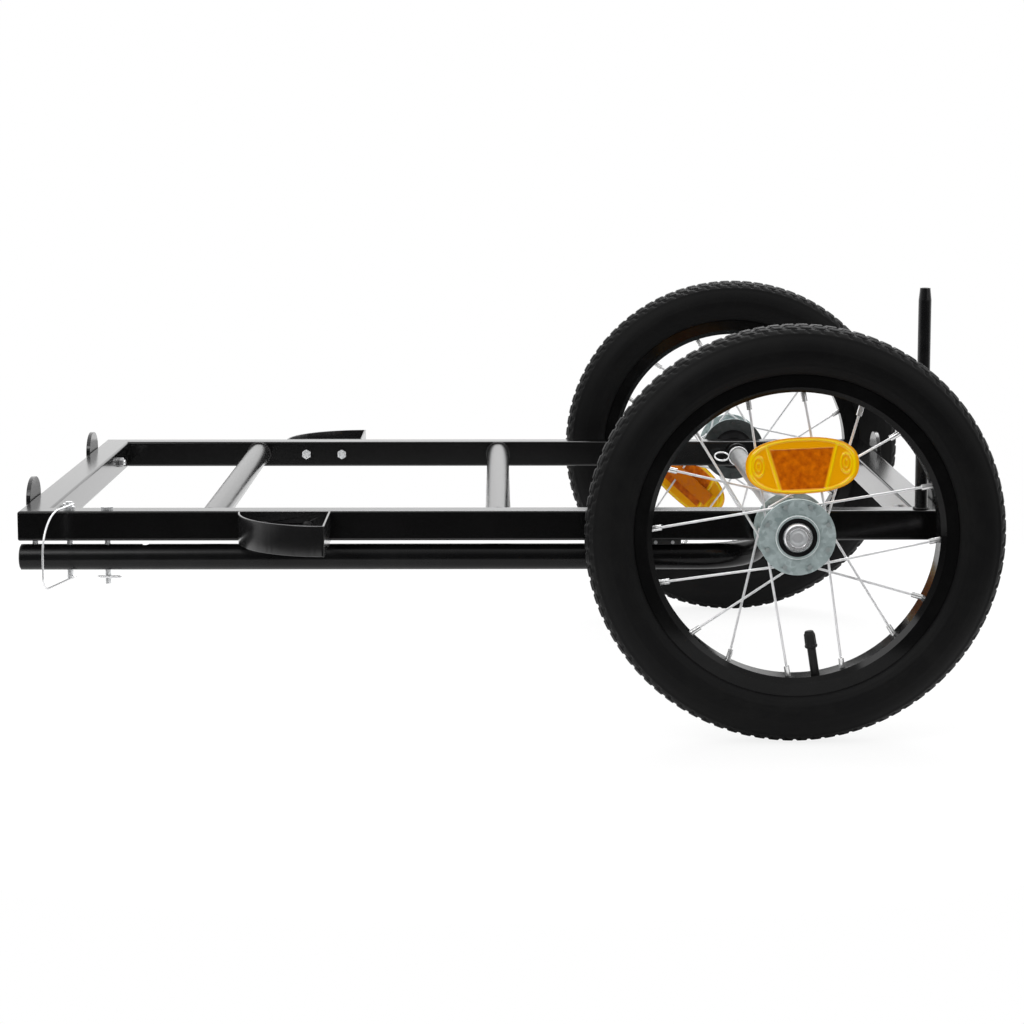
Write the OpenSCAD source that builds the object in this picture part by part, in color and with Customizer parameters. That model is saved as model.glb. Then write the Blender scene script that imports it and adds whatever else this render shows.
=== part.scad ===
// Two-wheeled bicycle cargo trailer, seen as a bare frame with its tow bar folded away under the left rail.
// The origin lies on the ground below the middle of the whole trailer. +X points to the rear, where the
// wheels are, -Y is the trailer's left side, and +Z is up.

/* [Frame] */
// Length of the frame over its two end members
frame_len = 926; // [860:1:1100]
// Width of the frame over its two rails
frame_w = 558; // [480:1:700]
// Height of the rectangular tubes
rail_h = 30; // [26:1:40]
// Width of a side rail
rail_w = 25; // [22:1:32]
// Width of a front or rear member
member_w = 30; // [24:1:40]
// Wall of the rectangular tubes
rail_wall = 1.5; // [1.2:0.1:2.5]
// Outer radius of the rectangular tubes' corners
rail_corner = 2.4; // [1.8:0.1:3]
// Diameter of the round cross tubes
cross_d = 26; // [20:1:30]
// Wall of the round cross tubes
cross_wall = 1.5; // [1:0.1:3]
// Distance from the front end of the frame to the front cross tube
cross_x = 188.5; // [150:0.5:200]
// Distance from one cross tube to the next
cross_pitch = 291; // [180:1:300]
// Distance from the rear end of the frame to the axle
axle_inset = 155.5; // [120:0.5:200]

/* [Axle tube] */
// Outer diameter of the tube that carries both wheel axles
axle_tube_d = 20; // [18:0.5:24]
// How far the axle tube stands out of a rail
axle_tube_out = 12; // [10:0.5:16]
// Outer diameter of the collars welded round the axle tube
collar_d = 27; // [25:0.5:30]
// Length of a collar
collar_len = 9; // [6:0.5:10]

/* [Stop tabs] */
// Width of a stop tab
tab_w = 58; // [40:1:70]
// Thickness of a stop tab
tab_t = 4.4; // [3:0.1:6]
// Height of a stop tab above the deck
tab_rise = 21; // [15:1:40]
// Distance from a tab's foot to the deck
tab_drop = 27; // [22:0.5:28]
// Distance of a tab's middle from the centre line
tab_y = 182; // [100:1:200]

/* [Side brackets] */
// Radius of a bracket's quarter circle
bracket_r = 92; // [60:1:95]
// Thickness of the bracket strip
bracket_t = 2; // [1.5:0.1:3]
// Distance from the front end of the frame to a bracket's square end
bracket_x = 312.5; // [220:0.5:400]
// Distance from the square end to the rear bolt
bracket_bolt_x = 23; // [14:0.5:30]
// Distance between a bracket's two bolts
bracket_bolt_pitch = 43; // [16:0.5:45]

/* [Fasteners] */
// Thread diameter of the frame's bolts
bolt_d = 6; // [5:0.5:6]
// Diameter of a bolt's round head
bolt_head_d = 11; // [9:0.5:13]
// Height of a bolt's round head
bolt_head_h = 3.4; // [2:0.1:5]
// Size of the nuts across their flats
nut_af = 10; // [8:0.5:12]
// Height of a nut
nut_h = 5; // [3:0.5:6]
// How far a bolt's end stands out of its nut
bolt_end = 2; // [1:0.5:4]

/* [Flag post] */
// Distance from the rear end of the frame to the flag post
post_inset = 21.6; // [12:0.1:24]
// Diameter of the flag post
post_d = 12.7; // [11:0.1:16]
// Height of the post above the deck
post_h = 222; // [120:1:300]
// Length of the tapered tip
post_tip = 12; // [6:1:20]
// Diameter of the tip's end
post_tip_d = 10.2; // [9:0.1:11]
// Diameter of the hole for a flag's rod
rod_hole_d = 6.4; // [5:0.1:7.5]
// Depth of the hole for a flag's rod
rod_hole_depth = 80; // [40:1:110]

/* [Tow bar] */
// Diameter of the tow tube
tow_d = 26; // [22:1:30]
// Wall of the tow tube
tow_wall = 2; // [1.5:0.1:3]
// Gap between the rail and the folded tow tube
tow_gap = 5.1; // [4:0.1:10]
// Length of the straight run, from the front end to the bend
tow_run = 678; // [560:1:680]
// Radius of the bend along the tube's middle
tow_bend_r = 65; // [50:1:70]
// Length of the straight arm after the bend
tow_arm = 12; // [6:1:40]
// Distance from the front of the frame to the tow tube's front end
tow_inset = 1; // [0:0.5:10]
// Distance from the front of the frame to the lock pin
lock_x = 49.5; // [44:0.5:60]
// Distance from the lock pin to the pivot pin
pin_pitch = 38; // [30:0.5:44]
// Distance from the front of the frame to the stud that keeps the folded tube off the rail
stud_x = 14.9; // [8:0.1:30]
// Distance from the rest pad's middle to the start of the bend
rest_pad_in = 33; // [20:1:60]
// Length of the rest pad
rest_pad_len = 34; // [20:1:50]
// Width of the rest pad
rest_pad_w = 18; // [12:1:22]

/* [Pins and wires] */
// Diameter of the lock pin and the pivot pin
pin_d = 6; // [5:0.5:8]
// Diameter of a pin's flat head
pin_head_d = 12; // [10:0.5:16]
// Height of a pin's flat head
pin_head_h = 3; // [2:0.5:4]
// How far the pivot pin reaches below the tow tube
pin_reach = 14; // [13:0.5:20]
// How far the lock pin reaches below the tow tube
lock_reach = 9.5; // [8.5:0.1:9.9]
// Diameter of the spring wire
wire_d = 2; // [1.6:0.1:2.2]
// Height of the lock wire's hinge above the deck
wire_hinge_z = 5.5; // [5.5:0.1:8]
// How far the lock wire bows out from its pin
wire_bow = 77.5; // [76:0.5:90]
// Radius of the lock wire's upper bend
wire_bend_top = 40; // [14:1:42]
// Radius of the lock wire's lower bend
wire_bend_low = 12; // [6:0.5:14]
// Direction in which the lock wire bows out, turned from straight ahead towards the left
wire_turn = 77; // [76:1:90]
// Length of the clip's straight leg
clip_leg = 21; // [16:0.5:26]

/* [Hitch] */
// Width of the hitch clevis
clevis_w = 26; // [24:1:30]
// Height of the slot for the bicycle's tongue
clevis_slot = 9; // [6:0.5:12]
// Depth of the slot for the bicycle's tongue
clevis_depth = 20; // [18:0.5:21]
// Diameter of the hitch pin
hitch_pin_d = 8; // [6:0.5:9]
// Outer diameter of the hitch pin's pull ring
ring_d = 19; // [16:0.5:24]

/* [Axle ring] */
// Outer diameter of the wire ring that hangs from the axle tube
axle_ring_d = 19; // [16:0.5:24]
// Distance from the right rail's inner face to the wire loop round the axle tube
axle_ring_in = 24; // [20:0.5:40]

/* [Wheels] */
// Outer diameter of the tyre
tyre_d = 413; // [405:1:420]
// Width of the tyre
tyre_w = 54; // [50:1:56]
// Thickness of the tyre's casing
tyre_wall = 3.6; // [3:0.1:5]
// Depth of the rim from the tyre's bead seat to its inner face
rim_depth = 11.5; // [10.5:0.1:14]
// Width of the rim
rim_w = 32; // [30:1:34]
// Height of the rim's edge above the bead seat
rim_edge = 6; // [5:0.5:7]
// Thickness of the rim's base
rim_base = 2.5; // [2:0.1:3]
// Distance from a rail's outer face to the middle of its wheel
wheel_out = 49.4; // [48:0.1:60]
// Diameter of the valve's stem
valve_d = 8.6; // [6:0.1:9]
// Length of the valve that shows inside the rim
valve_show = 43; // [30:1:50]
// Diameter of the valve's dust cap
valve_cap_d = 12.6; // [10.5:0.1:14]
// Length of the valve's dust cap
valve_cap_len = 17; // [10:0.5:20]

/* [Hubs] */
// Diameter of a hub flange
flange_d = 75; // [73:0.5:78]
// Thickness of a hub flange
flange_t = 3; // [2.5:0.1:4]
// Distance between the middles of a hub's flanges
flange_pitch = 50; // [48:0.5:52]
// Distance of the hub's middle from the wheel's middle, towards the frame
hub_dish = 6; // [4:0.5:6.5]
// Radius of the circle of spoke holes
spoke_circle_r = 32; // [31:0.1:34]
// Outer diameter of the hub's barrel
barrel_d = 38; // [34:0.5:42]
// Outer diameter of the hub bearings
bearing_d = 28; // [24:0.5:30]
// Width of a hub bearing
bearing_w = 8; // [6:0.5:10]
// Diameter of the ring raised on the outer flange
raised_d = 43; // [41:0.5:48]
// Height of the ring raised on the outer flange
raised_h = 2.6; // [2:0.1:4]
// Outer diameter of the outer seal
seal_d = 38; // [35:0.5:39]
// Thickness of the outer seal
seal_t = 2; // [1.5:0.1:3]
// Diameter of the cover on the hub's inner side
cover_d = 48; // [40:0.5:56]

/* [Spokes] */
// Diameter of a spoke
spoke_d = 2.4; // [2:0.1:2.6]
// Number of spoke groups round the wheel, with four spokes in each
spoke_groups = 4; // [4:1:4]
// Diameter of a spoke nipple
nipple_d = 5.5; // [4.5:0.1:6]
// Length of a nipple inside the rim
nipple_len = 10; // [8:0.5:18]
// Angle of the left wheel's spoke pattern from straight back
spoke_angle = 8.8; // [0:0.1:20]
// Half the angle at the rim between two spokes of an outer flange's group
outer_step = 11; // [9:0.1:12]
// Half the angle at the rim between two spokes of an inner flange's group
inner_step = 9.3; // [8:0.1:12]
// Turn of the right wheel from the left one
right_turn = 135; // [0:1:359]

/* [Quick release] */
// Diameter of a wheel axle
axle_d = 12; // [10:0.5:13]
// Length of the axle that sits in the axle tube
axle_grip = 82; // [70:1:120]
// Diameter of the axle's chrome head
axle_head_d = 28.5; // [26:0.5:30]
// Length of the axle's chrome head
axle_head_len = 9; // [8:0.5:12]
// Diameter of the release button
button_d = 18; // [14:0.5:20]
// Thickness of the release button
button_t = 2.7; // [2:0.1:3.5]
// Travel of the release button
button_travel = 2.5; // [1:0.1:3]

/* [Reflectors] */
// Length of a spoke reflector
reflector_len = 110; // [90:1:116]
// Height of a spoke reflector
reflector_h = 55; // [40:1:58]
// Thickness of a reflector's lens
reflector_t = 6; // [4:0.5:7]
// Distance from the wheel's middle to the reflector's
reflector_r = 70; // [68:0.5:74]
// Angle of the left wheel's reflector from straight back
reflector_angle = 86.7; // [80:0.1:90]
// Turn of a reflector on its clip, away from square to the radius
reflector_twist = 6; // [0:0.5:8]

/* [Hidden] */

$fn = 64;
left = -1;
right = 1;
black = "#161616";
chrome = "#d8dadd";
zinc = "#98a2a2";
amber = "#e09a10";
rubber = "#1c1c1c";

// Clearances: a running fit, a loose hole, and daylight between pieces that must not touch
fit = 0.05;
loose = 0.2;
air = 0.3;
through = 1;
corner_steps = 6;

// Heights and lengths that follow from the driving dimensions
axle_z = tyre_d / 2;
deck_z = axle_z + rail_h / 2;
rail_z = deck_z - rail_h;
front_reach = tab_t + bolt_head_h;
frame_x = (frame_len / 2 + front_reach - (frame_len / 2 - axle_inset) - tyre_d / 2) / 2;
front_x = frame_x - frame_len / 2;
rear_x = frame_x + frame_len / 2;
axle_x = rear_x - axle_inset;
rail_y = frame_w / 2 - rail_w / 2;
rail_in_y = frame_w / 2 - rail_w;
hole_d = bolt_d + 2 * loose;
bolt_top_d = 0.72 * bolt_head_d;
socket_d = 0.75 * bolt_d;
socket_depth = bolt_head_h / 2;

// Tow bar and its pins, all on the left rail's middle line
tow_z = rail_z - tow_gap - tow_d / 2;
tow_front_x = front_x + tow_inset;
tow_bend_x = tow_front_x + tow_run;
tow_arm_x = tow_bend_x + tow_bend_r;
tow_y = -rail_y;
tow_end_y = tow_y + tow_bend_r + tow_arm;
lock_pin_x = front_x + lock_x;
pivot_x = lock_pin_x + pin_pitch;
rest_drop = tow_gap - air;
rest_pad_x = tow_bend_x - rest_pad_in;
clevis_y = tow_end_y + clevis_w / 2;
clevis_top_z = tow_z + tow_d / 2;

// Places along a hub, counted outwards from the rail's outer face
flange_in = wheel_out - hub_dish - flange_pitch / 2;
flange_out = wheel_out - hub_dish + flange_pitch / 2;
hub_end = flange_out + flange_t / 2 + raised_h;
bearing_inset = 2;
seat_in = flange_in + bearing_inset;
seat_out = flange_out - bearing_inset - bearing_w;
head_start = flange_out - bearing_inset + 0.5;
recess_r = axle_head_d / 2 + 0.75;
head_end = head_start + axle_head_len;
cover_start = axle_tube_out + 0.8;
pocket_floor = head_start + 1.2;
button_start = head_end - button_t - 0.6;
stem_d = 5;

// Rim and spokes
bead_r = tyre_d / 2 - tyre_w;
rim_in_r = bead_r - rim_depth;
edge_r = bead_r + rim_edge;
casing_r = tyre_w / 2;
casing_mid_r = tyre_d / 2 - casing_r;
strip_r = rim_in_r + rim_base + 3.8;
rim_flange_t = 2;
nipple_w = 2.5;
nipple_head_d = nipple_d + 2;
nipple_head_t = 1.6;
nipple_stagger = 0.5;
spoke_lift = flange_t / 2 + spoke_d / 2 + loose;
spoke_cross = 1.5 * spoke_d;
spoke_hole_d = spoke_d + 2 * loose;
hole_step = 180 / spoke_groups;
valve_angle = spoke_angle + 270;

// Reflector, between the outer spokes and just inside the hub's end
lens_out = flange_out + 0.4;
lens_in = lens_out - reflector_t;
clip_depth = 8.5;

// A round rod from point p to point q
module rod(p, q, d) {
    run = q - p;
    translate(p)
        rotate([0, acos(run.z / norm(run)), atan2(run.y, run.x)])
            cylinder(h = norm(run), d = d);
}

// A block given by its lowest and highest corners
module block(low, high) {
    translate(low)
        cube(high - low);
}

// A bar of wire bent round a centre, drawn in the XY plane from angle a to angle b
module wire_bend(centre, r, a, b) {
    translate([centre.x, centre.y, 0])
        rotate([0, 0, a])
            rotate_extrude(angle = b - a)
                translate([r, 0])
                    circle(d = wire_d, $fn = 24);
}

// A turned piece from an outline of [radius, place along +Y]
module turned(outline) {
    rotate([-90, 0, 0])
        rotate_extrude($fn = 96)
            polygon(outline);
}

// A round ring along +Y
module ring_y(outer_d, inner_d, from, to) {
    turned([[inner_d / 2, from], [outer_d / 2, from], [outer_d / 2, to], [inner_d / 2, to]]);
}

// A bolt along +X: round head in front of x = 0, shank to x = grip and past its nut
module bolt_x(grip) {
    rotate([0, 90, 0]) {
        translate([0, 0, -bolt_head_h])
            difference() {
                cylinder(h = bolt_head_h, d1 = bolt_top_d, d2 = bolt_head_d);
                translate([0, 0, -through])
                    cylinder(h = socket_depth + through, d = socket_d, $fn = 6);
            }
        cylinder(h = grip + nut_h + bolt_end, d = bolt_d);
    }
}

// A hexagon nut along +X with its seat at x = 0
module nut_x() {
    rotate([0, 90, 0])
        difference() {
            cylinder(h = nut_h, d = nut_af / cos(30), $fn = 6);
            translate([0, 0, -through])
                cylinder(h = nut_h + 2 * through, d = bolt_d + 2 * fit);
        }
}

// Both ends of a bracket's bolts, as distances from the front of the frame
function bracket_bolt_places() =
    [for (i = [0, 1]) front_x + bracket_x - bracket_bolt_x - i * bracket_bolt_pitch];

// Outline of a rectangle w by h round the origin, with its corners rounded to radius r
function rounded(w, h, r) =
    [for (q = [0:3], i = [0:corner_steps])
        let (a = 90 * (q + i / corner_steps))
        [(w / 2 - r) * (q == 0 || q == 3 ? 1 : -1) + r * cos(a),
            (h / 2 - r) * (q < 2 ? 1 : -1) + r * sin(a)]];

// A bar along +X from x = 0 with the rectangular tubes' outline, as wide as w, cut back by inset
module tube_bar(len, w, inset) {
    rotate([90, 0, 90])
        linear_extrude(len)
            polygon(rounded(w - 2 * inset, rail_h - 2 * inset, rail_corner - inset));
}

// One mitred rail: 1 is the right side, -1 the left one
module mitred_rail(side) {
    far = side * (frame_w / 2 + through);
    near = side * (rail_in_y - through);
    slope = member_w / rail_w * through;
    difference() {
        intersection() {
            translate([front_x, side * rail_y, axle_z])
                tube_bar(frame_len, rail_w, 0);
            translate([0, 0, rail_z - through])
                linear_extrude(rail_h + 2 * through)
                    polygon([[front_x - slope, far], [rear_x + slope, far],
                        [rear_x - member_w - slope, near], [front_x + member_w + slope, near]]);
        }
        translate([front_x - through, side * rail_y, axle_z])
            tube_bar(frame_len + 2 * through, rail_w, rail_wall);
        for (x = bracket_bolt_places())
            translate([x, side * rail_y, axle_z])
                rotate([90, 0, 0])
                    cylinder(h = rail_w + 2 * through, d = hole_d, center = true);
        translate([axle_x, side * rail_y, axle_z])
            rotate([90, 0, 0])
                cylinder(h = rail_w + 2 * through, d = axle_tube_d + 2 * fit, center = true);
    }
}

module rail_left() {
    color(black)
        difference() {
            mitred_rail(left);
            for (x = [lock_pin_x, pivot_x])
                translate([x, tow_y, rail_z - through])
                    cylinder(h = rail_h + 2 * through, d = pin_d + 2 * fit);
        }
}

module rail_right() {
    color(black)
        mitred_rail(right);
}

// One mitred end member: 1 is the rear one, -1 the front one
module mitred_member(end) {
    mid = (end > 0 ? rear_x : front_x) - end * member_w / 2;
    far = mid + end * (member_w / 2 + through);
    near = mid - end * (member_w / 2 + through);
    slope = rail_w / member_w * through;
    difference() {
        intersection() {
            translate([mid, -frame_w / 2, axle_z])
                rotate([0, 0, 90])
                    tube_bar(frame_w, member_w, 0);
            translate([0, 0, rail_z - through])
                linear_extrude(rail_h + 2 * through)
                    polygon([[far, -frame_w / 2 - slope], [far, frame_w / 2 + slope],
                        [near, rail_in_y - slope], [near, slope - rail_in_y]]);
        }
        translate([mid, -frame_w / 2 - through, axle_z])
            rotate([0, 0, 90])
                tube_bar(frame_w + 2 * through, member_w, rail_wall);
        for (y = [-tab_y, tab_y])
            translate([mid, y, axle_z])
                rotate([0, 90, 0])
                    cylinder(h = member_w + 2 * through, d = hole_d, center = true);
    }
}

module member_front() {
    color(black)
        mitred_member(-1);
}

module member_rear() {
    color(black)
        mitred_member(1);
}

// A round tube between the rails at x
module cross_tube(x) {
    color("#3a3a3a")
        translate([x, 0, axle_z])
            ring_y(cross_d, cross_d - 2 * cross_wall, -rail_in_y, rail_in_y);
}

module cross_tube_front() {
    cross_tube(front_x + cross_x);
}

module cross_tube_middle() {
    cross_tube(front_x + cross_x + cross_pitch);
}

// The bright tube runs through both rails and takes a wheel axle in each end
module axle_tube() {
    reach = frame_w / 2 + axle_tube_out;
    color(zinc)
        translate([axle_x, 0, axle_z])
            ring_y(axle_tube_d, axle_d + 2 * fit, -reach, reach);
}

module axle_collars() {
    color(black)
        translate([axle_x, 0, axle_z])
            for (side = [left, right], from = [rail_in_y - collar_len, frame_w / 2])
                mirror([0, side < 0 ? 1 : 0, 0])
                    ring_y(collar_d, axle_tube_d + 2 * fit, from, from + collar_len);
}

// Outline of a stop tab: straight sides with a half ellipse on top
module tab_plate() {
    steps = 24;
    points = concat([[-tab_w / 2, deck_z - tab_drop]],
        [for (i = [0:steps])
            let (a = 180 * i / steps)
            [-tab_w / 2 * cos(a), deck_z + tab_rise * sin(a)]],
        [[tab_w / 2, deck_z - tab_drop]]);
    rotate([90, 0, 90])
        linear_extrude(tab_t)
            polygon(points);
}

// The two tabs of one end member: 1 is the rear one, -1 the front one
module stop_tabs(end) {
    color(black)
        for (y = [-tab_y, tab_y])
            difference() {
                translate([end > 0 ? rear_x : front_x - tab_t, y, 0])
                    tab_plate();
                translate([end > 0 ? rear_x : front_x - tab_t, y, axle_z])
                    rotate([0, 90, 0])
                        translate([0, 0, -through])
                            cylinder(h = tab_t + 2 * through, d = hole_d);
            }
}

module stop_tabs_front() {
    stop_tabs(-1);
}

module stop_tabs_rear() {
    stop_tabs(1);
}

// Places a child that points along +X at each of the four tabs, facing inwards
module at_tabs(depth) {
    for (y = [-tab_y, tab_y]) {
        translate([front_x + depth, y, axle_z])
            children();
        translate([rear_x - depth, y, axle_z])
            mirror([1, 0, 0])
                children();
    }
}

module tab_bolts() {
    color(chrome)
        at_tabs(-tab_t)
            bolt_x(tab_t + member_w);
}

module tab_nuts() {
    color(chrome)
        at_tabs(member_w)
            nut_x();
}

// A strap bracket: a strip bent to a quarter circle, with a square end and a back plate
module side_bracket(side) {
    color(black)
        translate([front_x + bracket_x, side * frame_w / 2, 0])
            mirror([0, side < 0 ? 1 : 0, 0])
                difference() {
                    translate([0, 0, rail_z])
                        linear_extrude(rail_h)
                            difference() {
                                intersection() {
                                    circle(r = bracket_r, $fn = 96);
                                    translate([-bracket_r, 0])
                                        square(bracket_r);
                                }
                                intersection() {
                                    circle(r = bracket_r - bracket_t, $fn = 96);
                                    translate([-bracket_r, bracket_t])
                                        square([bracket_r - bracket_t, bracket_r]);
                                }
                            }
                    for (i = [0, 1])
                        translate([-bracket_bolt_x - i * bracket_bolt_pitch, 0, axle_z])
                            rotate([90, 0, 0])
                                cylinder(h = 3 * bracket_t, d = hole_d, center = true);
                }
}

module bracket_left() {
    side_bracket(left);
}

module bracket_right() {
    side_bracket(right);
}

// Places a child that points along +X at each bracket bolt, facing inwards
module at_bracket_bolts(depth) {
    for (side = [left, right], x = bracket_bolt_places())
        translate([x, side * (frame_w / 2 - depth), axle_z])
            rotate([0, 0, -side * 90])
                children();
}

module bracket_bolts() {
    color(chrome)
        at_bracket_bolts(-bracket_t)
            bolt_x(bracket_t + rail_w);
}

module bracket_nuts() {
    color(chrome)
        at_bracket_bolts(rail_w)
            nut_x();
}

// The flag post stands on the left rear corner and is open at the top for a flag's rod
module flag_post() {
    color(black)
        translate([rear_x - post_inset, tow_y, deck_z])
            difference() {
                union() {
                    cylinder(h = post_h - post_tip, d = post_d);
                    translate([0, 0, post_h - post_tip])
                        cylinder(h = post_tip, d1 = post_d, d2 = post_tip_d);
                }
                translate([0, 0, post_h - rod_hole_depth])
                    cylinder(h = rod_hole_depth + through, d = rod_hole_d);
            }
}

// A stud and a pad under the left rail keep the folded tow tube off its paint
module tow_spacer() {
    color(chrome)
        translate([front_x + stud_x, tow_y, rail_z - rest_drop])
            cylinder(h = rest_drop, d = pin_d);
}

pad_screw_shank = 2.4;
pad_screw_head = 3.6;
pad_screw_head_h = 1.2;
pad_screw_places = [for (end = [-1, 1]) rest_pad_x + end * rest_pad_len / 4];

module tow_rest_pad() {
    color(rubber)
        difference() {
            block([rest_pad_x - rest_pad_len / 2, tow_y - rest_pad_w / 2, rail_z - rest_drop],
                [rest_pad_x + rest_pad_len / 2, tow_y + rest_pad_w / 2, rail_z]);
            for (x = pad_screw_places)
                translate([x, tow_y - rest_pad_w / 2 - through, rail_z - rest_drop / 2])
                    rotate([-90, 0, 0])
                        cylinder(h = rest_pad_w / 2, d = pad_screw_shank);
        }
}

module pad_screws() {
    color(chrome)
        for (x = pad_screw_places)
            translate([x, tow_y - rest_pad_w / 2, rail_z - rest_drop / 2])
                rotate([-90, 0, 0]) {
                    translate([0, 0, -pad_screw_head_h])
                        cylinder(h = pad_screw_head_h, d = pad_screw_head);
                    cylinder(h = rest_pad_w / 2 - 2 * through, d = pad_screw_shank - 2 * fit);
                }
}

// A headed pin down through the left rail and the tow tube, reaching out below it
module frame_pin(x, reach) {
    tip_z = tow_z - tow_d / 2 - reach;
    translate([x, tow_y, 0]) {
        translate([0, 0, tip_z])
            cylinder(h = deck_z - tip_z, d = pin_d);
        translate([0, 0, deck_z])
            cylinder(h = pin_head_h, d = pin_head_d);
    }
}

clip_z = tow_z - tow_d / 2 - pin_reach / 2;

module pivot_pin() {
    color(chrome)
        difference() {
            frame_pin(pivot_x, pin_reach);
            translate([pivot_x, tow_y, clip_z])
                rotate([0, 90, 0])
                    cylinder(h = 2 * pin_d, d = wire_d + 2 * fit, center = true);
        }
}

// A hairpin clip through the pivot pin's tip, its second leg outside the pin
module pivot_clip() {
    gap = pin_d / 2 + wire_d / 2 + air;
    color(chrome)
        translate([pivot_x, tow_y, clip_z]) {
            rod([-clip_leg / 2, 0, 0], [clip_leg / 2, 0, 0], wire_d);
            translate([clip_leg / 2, -gap / 2, 0])
                wire_bend([0, 0], gap / 2, -90, 90);
            rod([clip_leg / 2, -gap, 0], [-clip_leg / 3, -gap, 0], wire_d);
        }
}

// The straight run, bend and arm of the tow tube at diameter d
module tow_path(d, extra) {
    translate([tow_front_x - extra, tow_y, tow_z])
        rotate([0, 90, 0])
            cylinder(h = tow_run + extra, d = d);
    translate([tow_bend_x, tow_y + tow_bend_r, tow_z])
        rotate([0, 0, -90])
            rotate_extrude(angle = 90, $fn = 96)
                translate([tow_bend_r, 0])
                    circle(d = d);
    translate([tow_arm_x, tow_y + tow_bend_r, tow_z])
        rotate([-90, 0, 0])
            cylinder(h = tow_arm + extra, d = d);
}

// Way of the lock pin through the tube as the bar swings: an arc round the pivot, open inwards
module lock_slot() {
    slot_d = pin_d + 2 * air;
    sweep = 34;
    for (end = [0, 1])
        translate([pivot_x, tow_y, tow_z]) {
            rotate([0, 0, end * (180 - sweep)])
                rotate_extrude(angle = sweep, $fn = 96)
                    translate([pin_pitch - slot_d / 2, -tow_d])
                        square([slot_d, 2 * tow_d]);
            rotate([0, 0, end * 180])
                translate([pin_pitch, 0, 0])
                    cylinder(h = 2 * tow_d, d = slot_d + 2 * loose, center = true);
        }
}

module tow_tube() {
    color("#202020")
        difference() {
            tow_path(tow_d, 0);
            tow_path(tow_d - 2 * tow_wall, through);
            translate([pivot_x, tow_y, tow_z])
                cylinder(h = 2 * tow_d, d = pin_d + 2 * fit, center = true);
            lock_slot();
        }
}

// A plastic plug closes the tube's front end
module tow_end_cap() {
    lip = max(tow_inset, 1);
    lip_d = tow_d - 0.6;
    lip_front_d = tow_d - 3;
    plug = 12;
    color(rubber)
        translate([tow_front_x, tow_y, tow_z])
            rotate([0, 90, 0]) {
                translate([0, 0, -lip])
                    cylinder(h = lip, d1 = lip_front_d, d2 = lip_d);
                cylinder(h = plug, d = tow_d - 2 * tow_wall - 2 * fit);
            }
}

// The clevis closes the arm; its slot takes the bicycle's tongue and the hitch pin goes through both
module hitch_clevis() {
    plug = tow_arm - through;
    color(chrome)
        translate([tow_arm_x, 0, tow_z])
            difference() {
                union() {
                    block([-clevis_w / 2, tow_end_y, -tow_d / 2],
                        [clevis_w / 2, tow_end_y + clevis_w, tow_d / 2]);
                    translate([0, tow_end_y - plug, 0])
                        rotate([-90, 0, 0])
                            cylinder(h = plug + through, d = tow_d - 2 * tow_wall - 2 * fit);
                }
                block([-clevis_w, tow_end_y + clevis_w - clevis_depth, -clevis_slot / 2],
                    [clevis_w, tow_end_y + 2 * clevis_w, clevis_slot / 2]);
                translate([0, clevis_y, 0])
                    cylinder(h = 2 * tow_d, d = hitch_pin_d + 2 * fit, center = true);
            }
}

// The lock pin has a knob on its head, with a cross hole for its wire
module lock_pin() {
    hole_len = 2 * pin_head_d;
    knob_d = pin_d + 1;
    knob_top = wire_hinge_z + 1.2 * wire_d;
    color(chrome)
        difference() {
            union() {
                frame_pin(lock_pin_x, lock_reach);
                translate([lock_pin_x, tow_y, deck_z + pin_head_h / 2])
                    cylinder(h = knob_top - pin_head_h / 2, d = knob_d);
            }
            translate([lock_pin_x, tow_y, deck_z + wire_hinge_z])
                rotate([0, 0, wire_turn])
                    rotate([90, 0, 0])
                        cylinder(h = hole_len, d = wire_d + 2 * fit, center = true);
        }
}

wire_side = pin_d / 2 + wire_d / 2 + 2 * air;

// Spring wire, hinged in the lock pin's lug, bowed round the tube, its end beside the pin's tip
module lock_wire() {
    hinge_z = deck_z + wire_hinge_z;
    top_centre = [wire_bow - wire_bend_top, -wire_bend_top];
    low_centre = [wire_bow - wire_bend_low, clip_z - hinge_z + wire_bend_low];
    overshoot = 0.7 * pin_d;
    joint_d = 1.2 * wire_d;
    color(chrome)
        translate([lock_pin_x, tow_y, hinge_z])
            rotate([0, 0, 180 + wire_turn])
                rotate([90, 0, 0])
                    translate([0, 0, -wire_side]) {
                        rod([0, 0, 0], [top_centre.x, 0, 0], wire_d);
                        wire_bend(top_centre, wire_bend_top, 0, 90);
                        rod([wire_bow, top_centre.y, 0], [wire_bow, low_centre.y, 0], wire_d);
                        wire_bend(low_centre, wire_bend_low, -90, 0);
                        rod([low_centre.x, clip_z - hinge_z, 0], [-overshoot, clip_z - hinge_z, 0], wire_d);
                        sphere(d = joint_d);
                        cylinder(h = wire_side + pin_d, d = wire_d);
                    }
}

// The hitch pin, flush below the clevis, has a flat head and a knob for its ring
hitch_head_h = 1.8;
hitch_head_d = hitch_pin_d + 5;
ring_wire = 1.4;
ring_z = clevis_top_z + hitch_head_h + ring_wire / 2 + 2 * air;

module hitch_pin() {
    knob_d = 4.6;
    color(chrome)
        translate([tow_arm_x, clevis_y, 0])
            difference() {
                union() {
                    translate([0, 0, tow_z - tow_d / 2])
                        cylinder(h = tow_d, d = hitch_pin_d);
                    translate([0, 0, clevis_top_z])
                        cylinder(h = hitch_head_h, d = hitch_head_d);
                    translate([0, 0, clevis_top_z])
                        cylinder(h = ring_z + ring_wire - clevis_top_z, d = knob_d);
                }
                translate([0, 0, ring_z])
                    rotate([90, 0, 0])
                        cylinder(h = 2 * knob_d, d = ring_wire + 2 * air, center = true);
            }
}

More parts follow.
